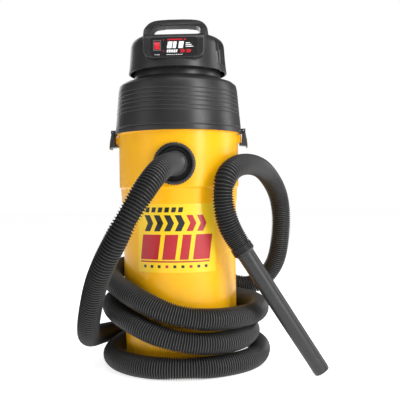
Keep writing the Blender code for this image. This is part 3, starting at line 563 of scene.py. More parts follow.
def tank_yellow():
    """Polished yellow: slight ripple, its tone drifting at random, and darker and more orange in patches
    towards the bottom.
    """
    look = plastic("tank_gloss", (0.95, 0.455, 0.002), (0.96, 0.480, 0.003), (0.82, 0.44, 0.02), 0.30, 260.0,
                   0.00010, 0.30, 0.05)
    tree = look.node_tree
    shader = tree.nodes["Principled BSDF"]
    shader.inputs["Specular IOR Level"].default_value = 0.32
    place = node(tree, "ShaderNodeTexCoord")
    split = node(tree, "ShaderNodeSeparateXYZ")
    bottom_patches = node(tree, "ShaderNodeTexNoise", scale=38.0, detail=5.0)
    low = node(tree, "ShaderNodeMath", operation="MULTIPLY")
    body = shader.inputs["Base Color"].links[0].from_socket
    # Towards the bottom the colour turns darker and more orange, in noisy patches.
    wire(tree, (place.outputs["Object"], split.inputs["Vector"]),
         (place.outputs["Object"], bottom_patches.inputs["Vector"]),
         (spread(tree, split.outputs["Z"], 1.0, 0.0, 0.06, 0.24), low.inputs[0]),
         (spread(tree, bottom_patches.outputs["Fac"], 0.0, 0.5, 0.45, 0.7), low.inputs[1]),
         (mixed(tree, low.outputs[0], body, (0.72, 0.40, 0.02)), shader.inputs["Base Color"]))
    return look


gloss_yellow = tank_yellow()
tank_outline = eased(TANK_PROFILE, 0.0010) + eased(TANK_INSIDE, 0.0012)
# The floor runs straight from its corner to the axis, so the last rounded points are left out.
tank_shell = turned("tank_shell", [(0, 0)] + tank_outline[:-5] + [(0, 0.0035)], gloss_yellow, TANK_SIDES)
lugs = []
for side, sign in SIDES.items():
    near, far = sorted((sign * 0.1140, sign * 0.1222))
    lugs.append(cuboid(f"lug_{side}", (near, -0.010, 0.4245), (far, 0.010, 0.4400), rounded=0.0010))
worked(tank_shell, "UNION", *lugs)
worked(tank_shell, "DIFFERENCE", post("inlet_hole", 0.0306, (0, -0.085, INLET_HEIGHT), (0, -1, 0), 0.06, 64))
fit(tank_shell, "base", "tank_yellow", "tank")


# ---------------------------------------------------------------------------------------------------
# The label. A thin printed vinyl sheet wrapped on the tank's front: a bright ground with plain rows
# of black and red bars, chevrons and small squares. Each ink is laid on the sheet as its own film.

LABEL_EDGE = (-0.0765, 0.0765, 0.187, 0.3110)  # left and right along the wall, low and high
FILM = 0.00018
LABEL_LIFT = 0.00015
ON_LABEL = LABEL_LIFT + FILM * 0.8
CHEVRON_LOW, CHEVRON_HIGH, CHEVRON_STEP = 0.2615, 0.2905, 0.0195


def tank_radius(height):
    radii, heights = zip(*TANK_PROFILE)
    return float(np.interp(height, heights, radii))


def film(work, corners, lift, columns=8, rows=2):
    """A thin closed film on the tank's wall between four corners, each (distance along the wall, height)."""
    low_left, low_right, high_right, high_left = (Vector(corner) for corner in corners)
    sheets = []
    for proud in (lift, lift + FILM):
        sheet = []
        for row in range(rows + 1):
            left = low_left.lerp(high_left, row / rows)
            right = low_right.lerp(high_right, row / rows)
            line = []
            for column in range(columns + 1):
                along, height = left.lerp(right, column / columns)
                radius = tank_radius(height) + proud
                turn = along / radius
                line.append(work.verts.new((radius * math.sin(turn), -radius * math.cos(turn), height)))
            sheet.append(line)
        sheets.append(sheet)
    for sheet in sheets:
        for row in range(rows):
            for column in range(columns):
                work.faces.new([sheet[row][column], sheet[row][column + 1],
                                sheet[row + 1][column + 1], sheet[row + 1][column]])
    under, over = [sheet[0] + [line[-1] for line in sheet[1:]] + sheet[-1][-2::-1]
                   + [line[0] for line in sheet[-2:0:-1]] for sheet in sheets]
    for k in range(len(under)):
        n = (k + 1) % len(under)
        work.faces.new([under[k], under[n], over[n], over[k]])


def slanted(left, right, low, high, lean=0.0):
    """The corners of an upright bar whose top is pushed sideways by lean."""
    return [(left, low), (right, low), (right + lean, high), (left + lean, high)]


def chevron(left, width, low, high, point):
    """The corners of the two halves of a chevron that points right."""
    middle = (low + high) / 2
    return [[(left, low), (left + width, low), (left + width + point, middle), (left + point, middle)],
            [(left + point, middle), (left + width + point, middle), (left + width, high), (left, high)]]


label_ground, label_black, label_red = (bmesh.new() for _ in range(3))
left, right, low, high = LABEL_EDGE
film(label_ground, slanted(left, right, low, high), LABEL_LIFT, 48, 30)
for k in range(6):
    bar = slanted(-0.058 + 0.0125 * k, -0.050 + 0.0125 * k, 0.2955, 0.3045, 0.002)
    film(label_black, bar, ON_LABEL, 3, 2)
for ink, start, count in ((label_black, -0.060, 4), (label_red, 0.0195, 2)):
    for k in range(count):
        for half in chevron(start + CHEVRON_STEP * k, 0.0115, CHEVRON_LOW, CHEVRON_HIGH, 0.0070):
            film(ink, half, ON_LABEL, 4, 4)
for left, width in ((-0.0705, 0.0370), (-0.0255, 0.0240), (0.0065, 0.0160), (0.0305, 0.0325)):
    film(label_red, slanted(left, left + width, 0.2105, 0.2555, 0.0065), ON_LABEL, 8, 8)
film(label_red, slanted(-0.0705, 0.0630, 0.2055, 0.2080), ON_LABEL, 40, 1)
for k in range(9):
    ink = label_red if k in (3, 6) else label_black
    film(ink, slanted(-0.063 + 0.0145 * k, -0.0575 + 0.0145 * k, 0.1955, 0.2005), ON_LABEL, 2, 2)

ground_vinyl = plastic("label_ground", (0.90, 0.58, 0.006), (0.92, 0.60, 0.008), (0.82, 0.56, 0.04), 0.40,
                       500.0, 0.00003, 0.25, 0.2)
black_ink = plastic("label_black_ink", (0.006, 0.006, 0.006), (0.010, 0.010, 0.010), (0.10, 0.09, 0.03), 0.36,
                    500.0, 0.00003, 0.35, 0.2)
red_ink = plastic("label_red_ink", (0.42, 0.004, 0.012), (0.45, 0.006, 0.015), (0.55, 0.09, 0.03), 0.42,
                  500.0, 0.00003, 0.35, 0.2)
for name, work, look in (("label_sheet", label_ground, ground_vinyl),
                         ("label_black_bars", label_black, black_ink),
                         ("label_red_bars", label_red, red_ink)):
    fit(piece_from(name, work, look), "base", "tank_yellow")


# ---------------------------------------------------------------------------------------------------
# The inlet. A black collar goes through the tank's wall and is held by a nut inside, with a bent
# plate that turns the dirt down. The collar's rim is ribbed all round for the fingers.

COLLAR_RADIUS = 0.038
COLLAR_FACE = 0.1235
TANK_SKIN = 0.1157 + 0.0003


def made_by(name, tree, inputs, values, look):
    """A plain mesh grown by a node tree, whose values are set by their sockets' identifiers."""
    piece = bpy.data.objects.new(name, bpy.data.meshes.new(name))
    bpy.context.collection.objects.link(piece)
    grow = piece.modifiers.new(name, "NODES")
    grow.node_group = tree
    for label, value in {**values, "Finish": look}.items():
        grow[inputs[label]] = value
    bpy.context.view_layer.update()
    return settled(piece)


def growing_tree(name, sockets):
    """An empty node tree with its named inputs, their identifiers, and its two end nodes."""
    tree = bpy.data.node_groups.new(name, "GeometryNodeTree")
    tree.interface.new_socket(name="Geometry", in_out="INPUT", socket_type="NodeSocketGeometry")
    tree.interface.new_socket(name="Geometry", in_out="OUTPUT", socket_type="NodeSocketGeometry")
    inputs = {}
    for label, kind in [*sockets, ("Finish", "NodeSocketMaterial")]:
        inputs[label] = tree.interface.new_socket(name=label, in_out="INPUT", socket_type=kind).identifier
    return tree, inputs, tree.nodes.new("NodeGroupInput"), tree.nodes.new("NodeGroupOutput")


def finished_tree(tree, given, out, instances):
    """Every tree ends alike: real geometry, then its material."""
    real = node(tree, "GeometryNodeRealizeInstances")
    look = node(tree, "GeometryNodeSetMaterial")
    wire(tree, (instances, real.inputs["Geometry"]), (real.outputs["Geometry"], look.inputs["Geometry"]),
         (given.outputs["Finish"], look.inputs["Material"]),
         (look.outputs["Geometry"], out.inputs["Geometry"]))


def facing_out(tree):
    """The turn about Z that points an instance's X away from the axis."""
    position = node(tree, "GeometryNodeInputPosition")
    split = node(tree, "ShaderNodeSeparateXYZ")
    angle = node(tree, "ShaderNodeMath", operation="ARCTAN2")
    turn = node(tree, "ShaderNodeCombineXYZ")
    wire(tree, (position.outputs["Position"], split.inputs["Vector"]), (split.outputs["Y"], angle.inputs[0]),
         (split.outputs["X"], angle.inputs[1]), (angle.outputs[0], turn.inputs["Z"]))
    return turn.outputs["Vector"]


ring_tree, ring_inputs, given, out = growing_tree(
    "ring_of_copies",
    [("Copy", "NodeSocketObject"), ("Count", "NodeSocketInt"), ("Radius", "NodeSocketFloat")])
circle = node(ring_tree, "GeometryNodeMeshCircle")
copied = node(ring_tree, "GeometryNodeObjectInfo")
placed = node(ring_tree, "GeometryNodeInstanceOnPoints")
wire(ring_tree, (given.outputs["Count"], circle.inputs["Vertices"]),
     (given.outputs["Radius"], circle.inputs["Radius"]), (given.outputs["Copy"], copied.inputs["Object"]),
     (circle.outputs["Mesh"], placed.inputs["Points"]),
     (copied.outputs["Geometry"], placed.inputs["Instance"]),
     (facing_out(ring_tree), placed.inputs["Rotation"]))
finished_tree(ring_tree, given, out, placed.outputs["Instances"])

collar_outline = [(0.0236, 0.0950), (0.0300, 0.0950), (0.0300, 0.1030), (COLLAR_RADIUS - 0.0008, 0.1030),
                  (COLLAR_RADIUS - 0.0008, COLLAR_FACE - 0.0012), (COLLAR_RADIUS - 0.0030, COLLAR_FACE),
                  (0.0318, COLLAR_FACE), (0.0302, COLLAR_FACE - 0.0030), (0.0292, 0.1125), (0.0236, 0.1125)]
inlet_ring = turned("inlet_ring", eased(collar_outline, 0.0009), matte_black, 96, (0, 0, INLET_HEIGHT),
                    (0, -1, 0))
saddle = turned("saddle", [(0.098, 0.340), (TANK_SKIN, 0.340), (TANK_SKIN, 0.425), (0.098, 0.425)], None, 160)
worked(saddle, "DIFFERENCE", post("saddle_core", 0.0302, (0, -0.080, INLET_HEIGHT), (0, -1, 0), 0.08, 96))
worked(inlet_ring, "DIFFERENCE", saddle)
fit(inlet_ring, "base", "moulded_black", "inlet_collar")

tooth = cuboid("tooth", (-0.0010, -0.0013, 0.1180), (0.0009, 0.0013, COLLAR_FACE - 0.0008), None, 0.0004)
collar_teeth = made_by("inlet_ring_teeth", ring_tree, ring_inputs,
                       {"Copy": tooth, "Count": 44, "Radius": COLLAR_RADIUS - 0.0009}, matte_black)
collar_teeth.data.transform(stood((0, 0, INLET_HEIGHT), (0, -1, 0)))
bpy.data.objects.remove(tooth)
fit(collar_teeth, "base", "moulded_black")

inner_grey = plastic("inner_grey", (0.12, 0.12, 0.125), (0.14, 0.14, 0.145), (0.2, 0.2, 0.2), 0.55)
nut_outline = [(0.0305, 0.0972), (0.0355, 0.0972), (0.0355, 0.1050), (0.0305, 0.1050)]
fit(turned("lock_nut", eased(nut_outline, 0.0008), inner_grey, 64, (0, 0, INLET_HEIGHT), (0, -1, 0)),
    "base", "inner_grey", "inlet_nut")
bent_plate = [(0.0968, 0.4150), (0.0890, 0.4130), (0.0830, 0.4060), (0.0800, 0.3950), (0.0790, 0.3560),
              (0.0810, 0.3560), (0.0820, 0.3945), (0.0846, 0.4045), (0.0898, 0.4110), (0.0968, 0.4128)]
plate_side = [(-a, b) for a, b in eased(bent_plate, 0.0030)]
fit(extruded("turning_plate", plate_side, "x", -0.026, 0.026, matte_black),
    "base", "moulded_black", "inlet_deflector")


# ---------------------------------------------------------------------------------------------------
# The wall hanger on the tank's back: a thick black plate, curved to the tank, with a round-ended
# slot for a hook. Two steel screws hold it, with their heads sunk below its face.

HANGER_HALF, HANGER_BACK = 0.034, 0.1245
HANGER_LOW, HANGER_HIGH = 0.352, 0.428
HANGER_SCREW = (0.024, 0.414)
SCREW_HOLE = 0.0023

plate_outline = eased(box_outline((-HANGER_HALF, HANGER_LOW), (HANGER_HALF, HANGER_HIGH)), 0.008)
slot_outline = eased(box_outline((-0.0065, 0.360), (0.0065, 0.398)), 0.005)
hanger = extruded("wall_hanger", plate_outline, "y", 0.104, HANGER_BACK, matte_black, 0.0010)
worked(hanger, "DIFFERENCE",
       turned("hanger_saddle", [(0, 0.34), (TANK_SKIN, 0.34), (TANK_SKIN, 0.44), (0, 0.44)], None, 160),
       extruded("hook_slot", slot_outline, "y", 0.10, 0.13, None))
for side, sign in SIDES.items():
    x, z = sign * HANGER_SCREW[0], HANGER_SCREW[1]
    worked(hanger, "DIFFERENCE", post("shank_hole", SCREW_HOLE, (x, 0.1112, z), (0, 1, 0), 0.02),
           post("head_hole", 0.0050, (x, 0.1207, z), (0, 1, 0), 0.01))
fit(hanger, "base", "moulded_black", "hanger_plate")


# ---------------------------------------------------------------------------------------------------
# The lid. A tall black moulding whose wall leans in, with shallow grooves round it, a sloping
# shoulder and a neck up to the deck that carries the motor. Two pairs of ears hold the latches.

LID_RIM, LID_LOW = 0.1231, 0.4424
WALL_FOOT, WALL_TOP = (0.1216, 0.4540), (0.1153, 0.5240)
GROOVES = (0.4790, 0.4860, 0.4950, 0.5020, 0.5100, 0.5180)
GROOVE_DEPTH = 0.0007
LATCH_PIVOT = (0.1266, 0.4482)
PIN_BORE, PIN_HALF = 0.0016, 0.0225
EAR_PLACE, EAR_HALF = 0.016, 0.0015
DECK_SCREWS = (40, 140, 220, 320)
SCREW_CIRCLE = 0.072


def wall_point(height, sunk=0.0):
    share = (height - WALL_FOOT[1]) / (WALL_TOP[1] - WALL_FOOT[1])
    return WALL_FOOT[0] + (WALL_TOP[0] - WALL_FOOT[0]) * share - sunk, height


def pin_bore(sign):
    """The bore for a latch's pin, the same through the lid's ears and through the lever."""
    place = (sign * LATCH_PIVOT[0], -PIN_HALF, LATCH_PIVOT[1])
    return post("pin_bore", PIN_BORE, place, (0, 1, 0), 2 * PIN_HALF, 20)


lid_outside = [(0.1203, LID_LOW), (LID_RIM, LID_LOW), (LID_RIM, 0.4506), (0.1228, 0.4514), (0.1210, 0.4522),
               (0.1210, 0.4530), WALL_FOOT]
for groove in GROOVES:
    lid_outside += [wall_point(groove - 0.0009), wall_point(groove - 0.0003, GROOVE_DEPTH),
                    wall_point(groove + 0.0003, GROOVE_DEPTH), wall_point(groove + 0.0009)]
lid_outside += [WALL_TOP, (0.1132, 0.5340), (0.1070, 0.5392), (0.0875, 0.5456), (0.0840, 0.5475),
                (0.0830, 0.5660)]
lid_inside = [(0.0500, 0.5660), (0.0500, 0.5630), (0.0800, 0.5630), (0.0805, 0.5452), (0.0865, 0.5424),
              (0.1050, 0.5362), (0.1100, 0.5322), (0.1123, 0.5210), (0.1185, 0.4550), (0.1184, 0.4530),
              (0.1120, 0.4530), (0.1120, 0.4478), (0.1203, 0.4478)]
lid_shell = turned("lid_shell", eased(lid_outside + lid_inside, 0.0009, 3), matte_black, 144)
for side, sign in SIDES.items():
    near, far = sorted((sign * 0.1210, sign * 0.1300))
    ears = []
    for k, y in enumerate((-EAR_PLACE, EAR_PLACE)):
        low, high = (near, y - EAR_HALF, 0.4444), (far, y + EAR_HALF, 0.4516)
        ears.append(cuboid(f"ear_{side}_{k}", low, high, rounded=0.0006))
    worked(lid_shell, "UNION", *ears)
    worked(lid_shell, "DIFFERENCE", pin_bore(sign))


def round_screws(name, radius, low, high):
    """Four upright rods on the screw circle."""
    rods = []
    for angle in DECK_SCREWS:
        turn = math.radians(angle)
        spot = (SCREW_CIRCLE * math.cos(turn), SCREW_CIRCLE * math.sin(turn), low)
        rods.append(post(f"{name}_{angle}", radius, spot, (0, 0, 1), high - low, 24))
    return rods


worked(lid_shell, "DIFFERENCE", *round_screws("deck_hole", SCREW_HOLE, 0.560, 0.570))
fit(lid_shell, "head", "moulded_black", "lid")


# ---------------------------------------------------------------------------------------------------
# The latches. Each black lever hangs on a steel pin between the lid's ears, and its toe hooks under
# the tank's lug. A few grip ribs cross its lower face, and its lip is painted pale as a painted reflection.

LATCH_HALF = 0.014
BARREL_RADIUS = 0.0029

row_tree, row_inputs, given, out = growing_tree(
    "row_of_copies", [("Copy", "NodeSocketObject"), ("Count", "NodeSocketInt"), ("Start", "NodeSocketVector"),
                      ("Step", "NodeSocketVector")])
line = node(row_tree, "GeometryNodeMeshLine")
copied = node(row_tree, "GeometryNodeObjectInfo")
placed = node(row_tree, "GeometryNodeInstanceOnPoints")
wire(row_tree, (given.outputs["Count"], line.inputs["Count"]),
     (given.outputs["Start"], line.inputs["Start Location"]), (given.outputs["Step"], line.inputs["Offset"]),
     (given.outputs["Copy"], copied.inputs["Object"]), (line.outputs["Mesh"], placed.inputs["Points"]),
     (copied.outputs["Geometry"], placed.inputs["Instance"]))
finished_tree(row_tree, given, out, placed.outputs["Instances"])


def latch_black_painted_reflection():
    """The lid's black, with a painted reflection that pales it towards the lever's lip."""
    look = plastic("latch_black_painted_reflection", (0.030, 0.030, 0.031), (0.040, 0.040, 0.041), (0.10, 0.10, 0.10), 0.40)
    tree = look.node_tree
    shader = tree.nodes["Principled BSDF"]
    place = node(tree, "ShaderNodeTexCoord")
    split = node(tree, "ShaderNodeSeparateXYZ")
    body = shader.inputs["Base Color"].links[0].from_socket
    # A painted reflection: the lever's lip below 0.4195 m is painted pale grey.
    wire(tree, (place.outputs["Object"], split.inputs["Vector"]),
         (mixed(tree, spread(tree, split.outputs["Z"], 1.0, 0.0, 0.4155, 0.4195), body, (0.42, 0.41, 0.39)),
          shader.inputs["Base Color"]))
    return look


lever_black = latch_black_painted_reflection()
barrel = []
for degrees in range(180, -1, -15):
    turn = math.radians(degrees)
    barrel.append((LATCH_PIVOT[0] + BARREL_RADIUS * math.cos(turn),
                   LATCH_PIVOT[1] + BARREL_RADIUS * math.sin(turn)))
lever = [(0.1326, 0.4330), (0.1342, 0.4180), (0.1340, 0.4156), (0.1326, 0.4150), (0.1312, 0.4190),
         (0.1190, 0.4200), (0.1183, 0.4215), (0.1186, 0.4239), (0.1230, 0.4239), (0.1240, 0.4440)]
rib_outline = eased([(-0.0008, -0.0006), (0.0006, -0.0004), (0.0006, 0.0004), (-0.0008, 0.0006)], 0.0003, 2)
for side, sign in SIDES.items():
    outline = [(sign * a, b) for a, b in barrel + eased(lever, 0.0008)]
    latch = extruded(f"{side}_latch_lever", outline, "y", -LATCH_HALF, LATCH_HALF, lever_black, 0.0006)
    worked(latch, "DIFFERENCE", pin_bore(sign))
    fit(latch, f"latch_{side}", "moulded_black", f"latch_{side}")
    rib = extruded("grip_rib", rib_outline, "y", -0.010, 0.010, None)
    ribs = made_by(f"{side}_latch_ribs", row_tree, row_inputs,
                   {"Copy": rib, "Count": 4, "Start": (sign * 0.1321, 0.0, 0.4298),
                    "Step": (sign * 0.00045, 0.0, -0.0026)}, lever_black)
    bpy.data.objects.remove(rib)
    fit(ribs, f"latch_{side}", "moulded_black")


# ---------------------------------------------------------------------------------------------------
# Under the lid. A rubber seal and a grey bulkhead close it, the blower's grey shell hangs from the
# deck, and a black float cage in a dark foam sleeve hangs into the tank, its ball loose inside.

CAGE_RADIUS = 0.050
CAGE_LOW, CAGE_TOP = 0.347, 0.4530

seal_rubber = plastic("seal_rubber", (0.020, 0.020, 0.020), (0.028, 0.028, 0.028), (0.06, 0.06, 0.06), 0.72)


def open_foam():
    """Dark reticulated foam: a web of small open cells with painted shade darkening the hollows between them,
    dusted grey on its outer skin.
    """
    look = bpy.data.materials.new("filter_foam")
    look.use_nodes = True
    tree = look.node_tree
    shader = tree.nodes["Principled BSDF"]
    place = node(tree, "ShaderNodeTexCoord")
    cells = node(tree, "ShaderNodeTexVoronoi", scale=420.0)
    dust = node(tree, "ShaderNodeTexNoise", scale=30.0, detail=5.0)
    bump = node(tree, "ShaderNodeBump", strength=0.9, distance=0.0012)
    # Painted shade: the hollows between the cells, where the bump sits lowest, are painted darker.
    cells_with_painted_shade = mixed(tree, spread(tree, cells.outputs["Distance"], 0, 1, 0.15, 0.6), (0.10, 0.10, 0.105),
                   (0.012, 0.012, 0.013))
    wire(tree, (place.outputs["Object"], cells.inputs["Vector"]),
         (place.outputs["Object"], dust.inputs["Vector"]),
         (mixed(tree, spread(tree, dust.outputs["Fac"], 0, 0.35, 0.45, 0.75), cells_with_painted_shade, (0.22, 0.21, 0.20)),
          shader.inputs["Base Color"]),
         (spread(tree, cells.outputs["Distance"], 0.85, 1.0), shader.inputs["Roughness"]),
         (spread(tree, cells.outputs["Distance"], 1.0, 0.0), bump.inputs["Height"]),
         (bump.outputs["Normal"], shader.inputs["Normal"]))
    return look


foam_black = open_foam()
float_white = plastic("float_white", (0.78, 0.78, 0.76), (0.82, 0.82, 0.80), (0.62, 0.60, 0.55), 0.38)

gasket_outline = [(0.1132, 0.4458), (0.1186, 0.4458), (0.1186, 0.4475), (0.1132, 0.4475)]
bulkhead_outline = [(0.0470, 0.4533), (0.1180, 0.4533), (0.1180, 0.4558), (0.0900, 0.4558), (0.0890, 0.4552),
                    (0.0860, 0.4552), (0.0850, 0.4558), (0.0470, 0.4558)]
shell_outline = [(0.022, 0.512), (0.0475, 0.512), (0.0475, 0.4561), (0.0500, 0.4561), (0.0500, 0.512),
                 (0.0625, 0.512), (0.0625, 0.5602), (0.0785, 0.5602), (0.0785, 0.5627), (0.0123, 0.5627),
                 (0.0123, 0.5600), (0.0600, 0.5600), (0.0600, 0.5145), (0.022, 0.5145)]
cage_outline = [(0.0165, CAGE_TOP), (0.0165, 0.4503), (CAGE_RADIUS - 0.0025, 0.4503),
                (CAGE_RADIUS - 0.0025, 0.3495), (0, 0.3495), (0, CAGE_LOW), (CAGE_RADIUS, CAGE_LOW),
                (CAGE_RADIUS, 0.4501), (0.058, 0.4501), (0.058, CAGE_TOP)]
sleeve_outline = [(0, 0.3410), (0.0600, 0.3410), (0.0620, 0.3430), (0.0620, 0.4498),
                  (CAGE_RADIUS + 0.0009, 0.4498), (CAGE_RADIUS + 0.0009, 0.3466), (0, 0.3466)]
band_outline = [(0.0623, 0.4400), (0.0640, 0.4400), (0.0640, 0.4460), (0.0623, 0.4460)]

fit(turned("rim_seal", eased(gasket_outline, 0.0005), seal_rubber, 128), "head", "seal_rubber", "lid_gasket")
fit(turned("lid_bulkhead", eased(bulkhead_outline, 0.0005), inner_grey, 128),
    "head", "inner_grey", "bulkhead")
blower = turned("blower_case", eased(shell_outline, 0.0008), inner_grey, 96)
worked(blower, "DIFFERENCE", *round_screws("flange_hole", SCREW_HOLE, 0.555, 0.565))
fit(blower, "head", "inner_grey", "blower_shell")
cage = turned("float_basket", eased(cage_outline, 0.0008), matte_black, 96)
window_outline = eased(box_outline((-0.014, 0.355), (0.014, 0.444)), 0.004)
for k in range(3):
    window = extruded(f"window_{k}", window_outline, "x", -0.07, 0.07, None)
    window.data.transform(Matrix.Rotation(math.radians(60 * k), 4, "Z"))
    worked(cage, "DIFFERENCE", window)
fit(cage, "head", "moulded_black", "float_cage")
fit(turned("foam_sleeve", eased(sleeve_outline, 0.0016), foam_black, 96),
    "head", "filter_foam", "filter_sleeve")
fit(turned("sleeve_band", eased(band_outline, 0.0005), seal_rubber, 96), "head", "seal_rubber", "filter_band")

# The ball is two half shells, so a fine seam stands proud round its middle.
BALL_RADIUS, BALL_STEPS = 0.019, 32
SEAM_PROUD = 0.0004
ball_centre = (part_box("float_ball")[0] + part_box("float_ball")[1]) / 2
ball_outline = [(0, ball_centre.z - BALL_RADIUS)]
for k in range(1, BALL_STEPS):
    turn = math.pi * k / BALL_STEPS
    proud = SEAM_PROUD if k == BALL_STEPS // 2 else 0
    ball_outline.append((BALL_RADIUS * math.sin(turn) + proud, ball_centre.z - BALL_RADIUS * math.cos(turn)))
ball_outline.append((0, ball_centre.z + BALL_RADIUS))
fit(turned("hollow_ball", ball_outline, float_white, 48), "float", "float_white", "float_ball")


# ---------------------------------------------------------------------------------------------------
# The motor cover. A black bell with an open skirt, a hollow under the grip for the fingers, four
# screw posts, and rows of short slanted air slots through its right side.

SKIRT_RADIUS, SKIRT_LOW = 0.0955, 0.559
COVER_WALL = 0.0025
FINGER_HALF = 0.0470
GLAND_HEIGHT = 0.585
SWITCH = Vector((-0.030, -0.0925, 0.5955))
COVER_PROFILE = [(SKIRT_RADIUS, SKIRT_LOW), (0.0940, 0.5700), (0.0925, 0.5850), (0.0914, 0.6000),
                 (0.0908, 0.6100), (0.0895, 0.6155), (0.0865, 0.6200), (0.0807, 0.6240), (0.0660, 0.6285),
                 (0.0400, 0.6325), (0, 0.634)]


def cover_profile(offset):
    """The cover's outline from its skirt to its crown, grown by an offset."""
    return [(r + offset if r else 0, z + offset * (z > SKIRT_LOW)) for r, z in COVER_PROFILE]


def finger_hollow(name, offset):
    side = [(-0.110, 0.6123 - offset), (0.024 + offset, 0.6336 - offset), (0.024 + offset, 0.66),
            (-0.110, 0.66)]
    return extruded(name, side, "x", -FINGER_HALF - offset, FINGER_HALF + offset, None)


def switch_opening():
    low = (SWITCH.x - 0.0068, -0.11, SWITCH.z - 0.0092)
    return cuboid("switch_opening", low, (SWITCH.x + 0.0068, -0.065, SWITCH.z + 0.0092))


slot_tree, slot_inputs, given, out = growing_tree(
    "slotted_shell", [("Slot", "NodeSocketObject"), ("Columns", "NodeSocketInt"), ("Rows", "NodeSocketInt"),
                      ("Sweep", "NodeSocketFloat"), ("Rise", "NodeSocketFloat"),
                      ("Middle", "NodeSocketFloat"), ("Radius", "NodeSocketFloat")])
grid = node(slot_tree, "GeometryNodeMeshGrid")
position = node(slot_tree, "GeometryNodeInputPosition")
split = node(slot_tree, "ShaderNodeSeparateXYZ")
cosine = node(slot_tree, "ShaderNodeMath", operation="COSINE")
sine = node(slot_tree, "ShaderNodeMath", operation="SINE")
over_x = node(slot_tree, "ShaderNodeMath", operation="MULTIPLY")
over_y = node(slot_tree, "ShaderNodeMath", operation="MULTIPLY")
lifted = node(slot_tree, "ShaderNodeMath", operation="ADD")
wrapped = node(slot_tree, "ShaderNodeCombineXYZ")
moved = node(slot_tree, "GeometryNodeSetPosition")
copied = node(slot_tree, "GeometryNodeObjectInfo")
placed = node(slot_tree, "GeometryNodeInstanceOnPoints")
slots = node(slot_tree, "GeometryNodeRealizeInstances")
opened = node(slot_tree, "GeometryNodeMeshBoolean", operation="DIFFERENCE", solver="EXACT")
wire(slot_tree, (given.outputs["Columns"], grid.inputs["Vertices X"]),
     (given.outputs["Rows"], grid.inputs["Vertices Y"]), (given.outputs["Sweep"], grid.inputs["Size X"]),
     (given.outputs["Rise"], grid.inputs["Size Y"]), (position.outputs["Position"], split.inputs["Vector"]),
     (split.outputs["X"], cosine.inputs[0]), (split.outputs["X"], sine.inputs[0]),
     (cosine.outputs[0], over_x.inputs[0]), (sine.outputs[0], over_y.inputs[0]),
     (given.outputs["Radius"], over_x.inputs[1]), (given.outputs["Radius"], over_y.inputs[1]),
     (split.outputs["Y"], lifted.inputs[0]), (given.outputs["Middle"], lifted.inputs[1]),
     (over_x.outputs[0], wrapped.inputs["X"]), (over_y.outputs[0], wrapped.inputs["Y"]),
     (lifted.outputs[0], wrapped.inputs["Z"]), (grid.outputs["Mesh"], moved.inputs["Geometry"]),
     (wrapped.outputs["Vector"], moved.inputs["Position"]),
     (moved.outputs["Geometry"], placed.inputs["Points"]), (given.outputs["Slot"], copied.inputs["Object"]),
     (copied.outputs["Geometry"], placed.inputs["Instance"]),
     (facing_out(slot_tree), placed.inputs["Rotation"]),
     (placed.outputs["Instances"], slots.inputs["Geometry"]),
     (given.outputs["Geometry"], opened.inputs["Mesh 1"]),
     (slots.outputs["Geometry"], opened.inputs["Mesh 2"]))
finished_tree(slot_tree, given, out, opened.outputs["Mesh"])

cover = turned("motor_cover", eased([(0, SKIRT_LOW)] + cover_profile(0), 0.0020, 3), matte_black, 144)
worked(cover, "DIFFERENCE", finger_hollow("finger_hollow", 0))
hollow = turned("hollow", [(0, 0.55), (SKIRT_RADIUS - COVER_WALL, 0.55)] + cover_profile(-COVER_WALL)[1:],
                None, 144)
worked(hollow, "DIFFERENCE", finger_hollow("hollow_back", COVER_WALL))
worked(cover, "DIFFERENCE", hollow)
worked(cover, "UNION", *round_screws("post", 0.0055, 0.5663, 0.6225))
worked(cover, "DIFFERENCE", *round_screws("post_hole", SCREW_HOLE, 0.562, 0.5795))
worked(cover, "DIFFERENCE", switch_opening(),
       post("gland_hole", 0.0080, (0, 0.075, GLAND_HEIGHT), (0, 1, 0), 0.04))

# Behind the slots the wall is thinned from inside, so that light can pass through them.
thinned = turned("thinned", [(0.060, 0.5685), (0.0925, 0.5685), (0.0916, 0.5850), (0.0905, 0.6000),
                             (0.0892, 0.6140), (0.060, 0.6175)], None, 144)
worked(thinned, "INTERSECT", cuboid("vent_side", (0.046, -0.09, 0.56), (0.11, 0.09, 0.63)))
worked(cover, "DIFFERENCE", thinned)
air_slot_outline = [(-0.0048, 0.0003), (0.0042, -0.0024), (0.0048, -0.0003), (-0.0042, 0.0024)]
slot = extruded("air_slot", eased(air_slot_outline, 0.0006, 2), "x", -0.008, 0.008, None)
grow = cover.modifiers.new("air_slots", "NODES")
grow.node_group = slot_tree
SLOT_LAYOUT = {"Columns": 10, "Rows": 12, "Sweep": math.radians(65), "Rise": 0.0395, "Middle": 0.5940,
               "Radius": 0.0915}
for label, value in {"Slot": slot, **SLOT_LAYOUT, "Finish": matte_black}.items():
    grow[slot_inputs[label]] = value
bpy.context.view_layer.update()
settled(cover)
bpy.data.objects.remove(slot)
fit(cover, "head", "moulded_black", "motor_housing")


# ---------------------------------------------------------------------------------------------------
# The handle and the panel's frame. One black moulding sits over the cover: two posts sweep up from
# the frame into a rounded carrying grip. Edges are soft except where the cover and panel cut them.

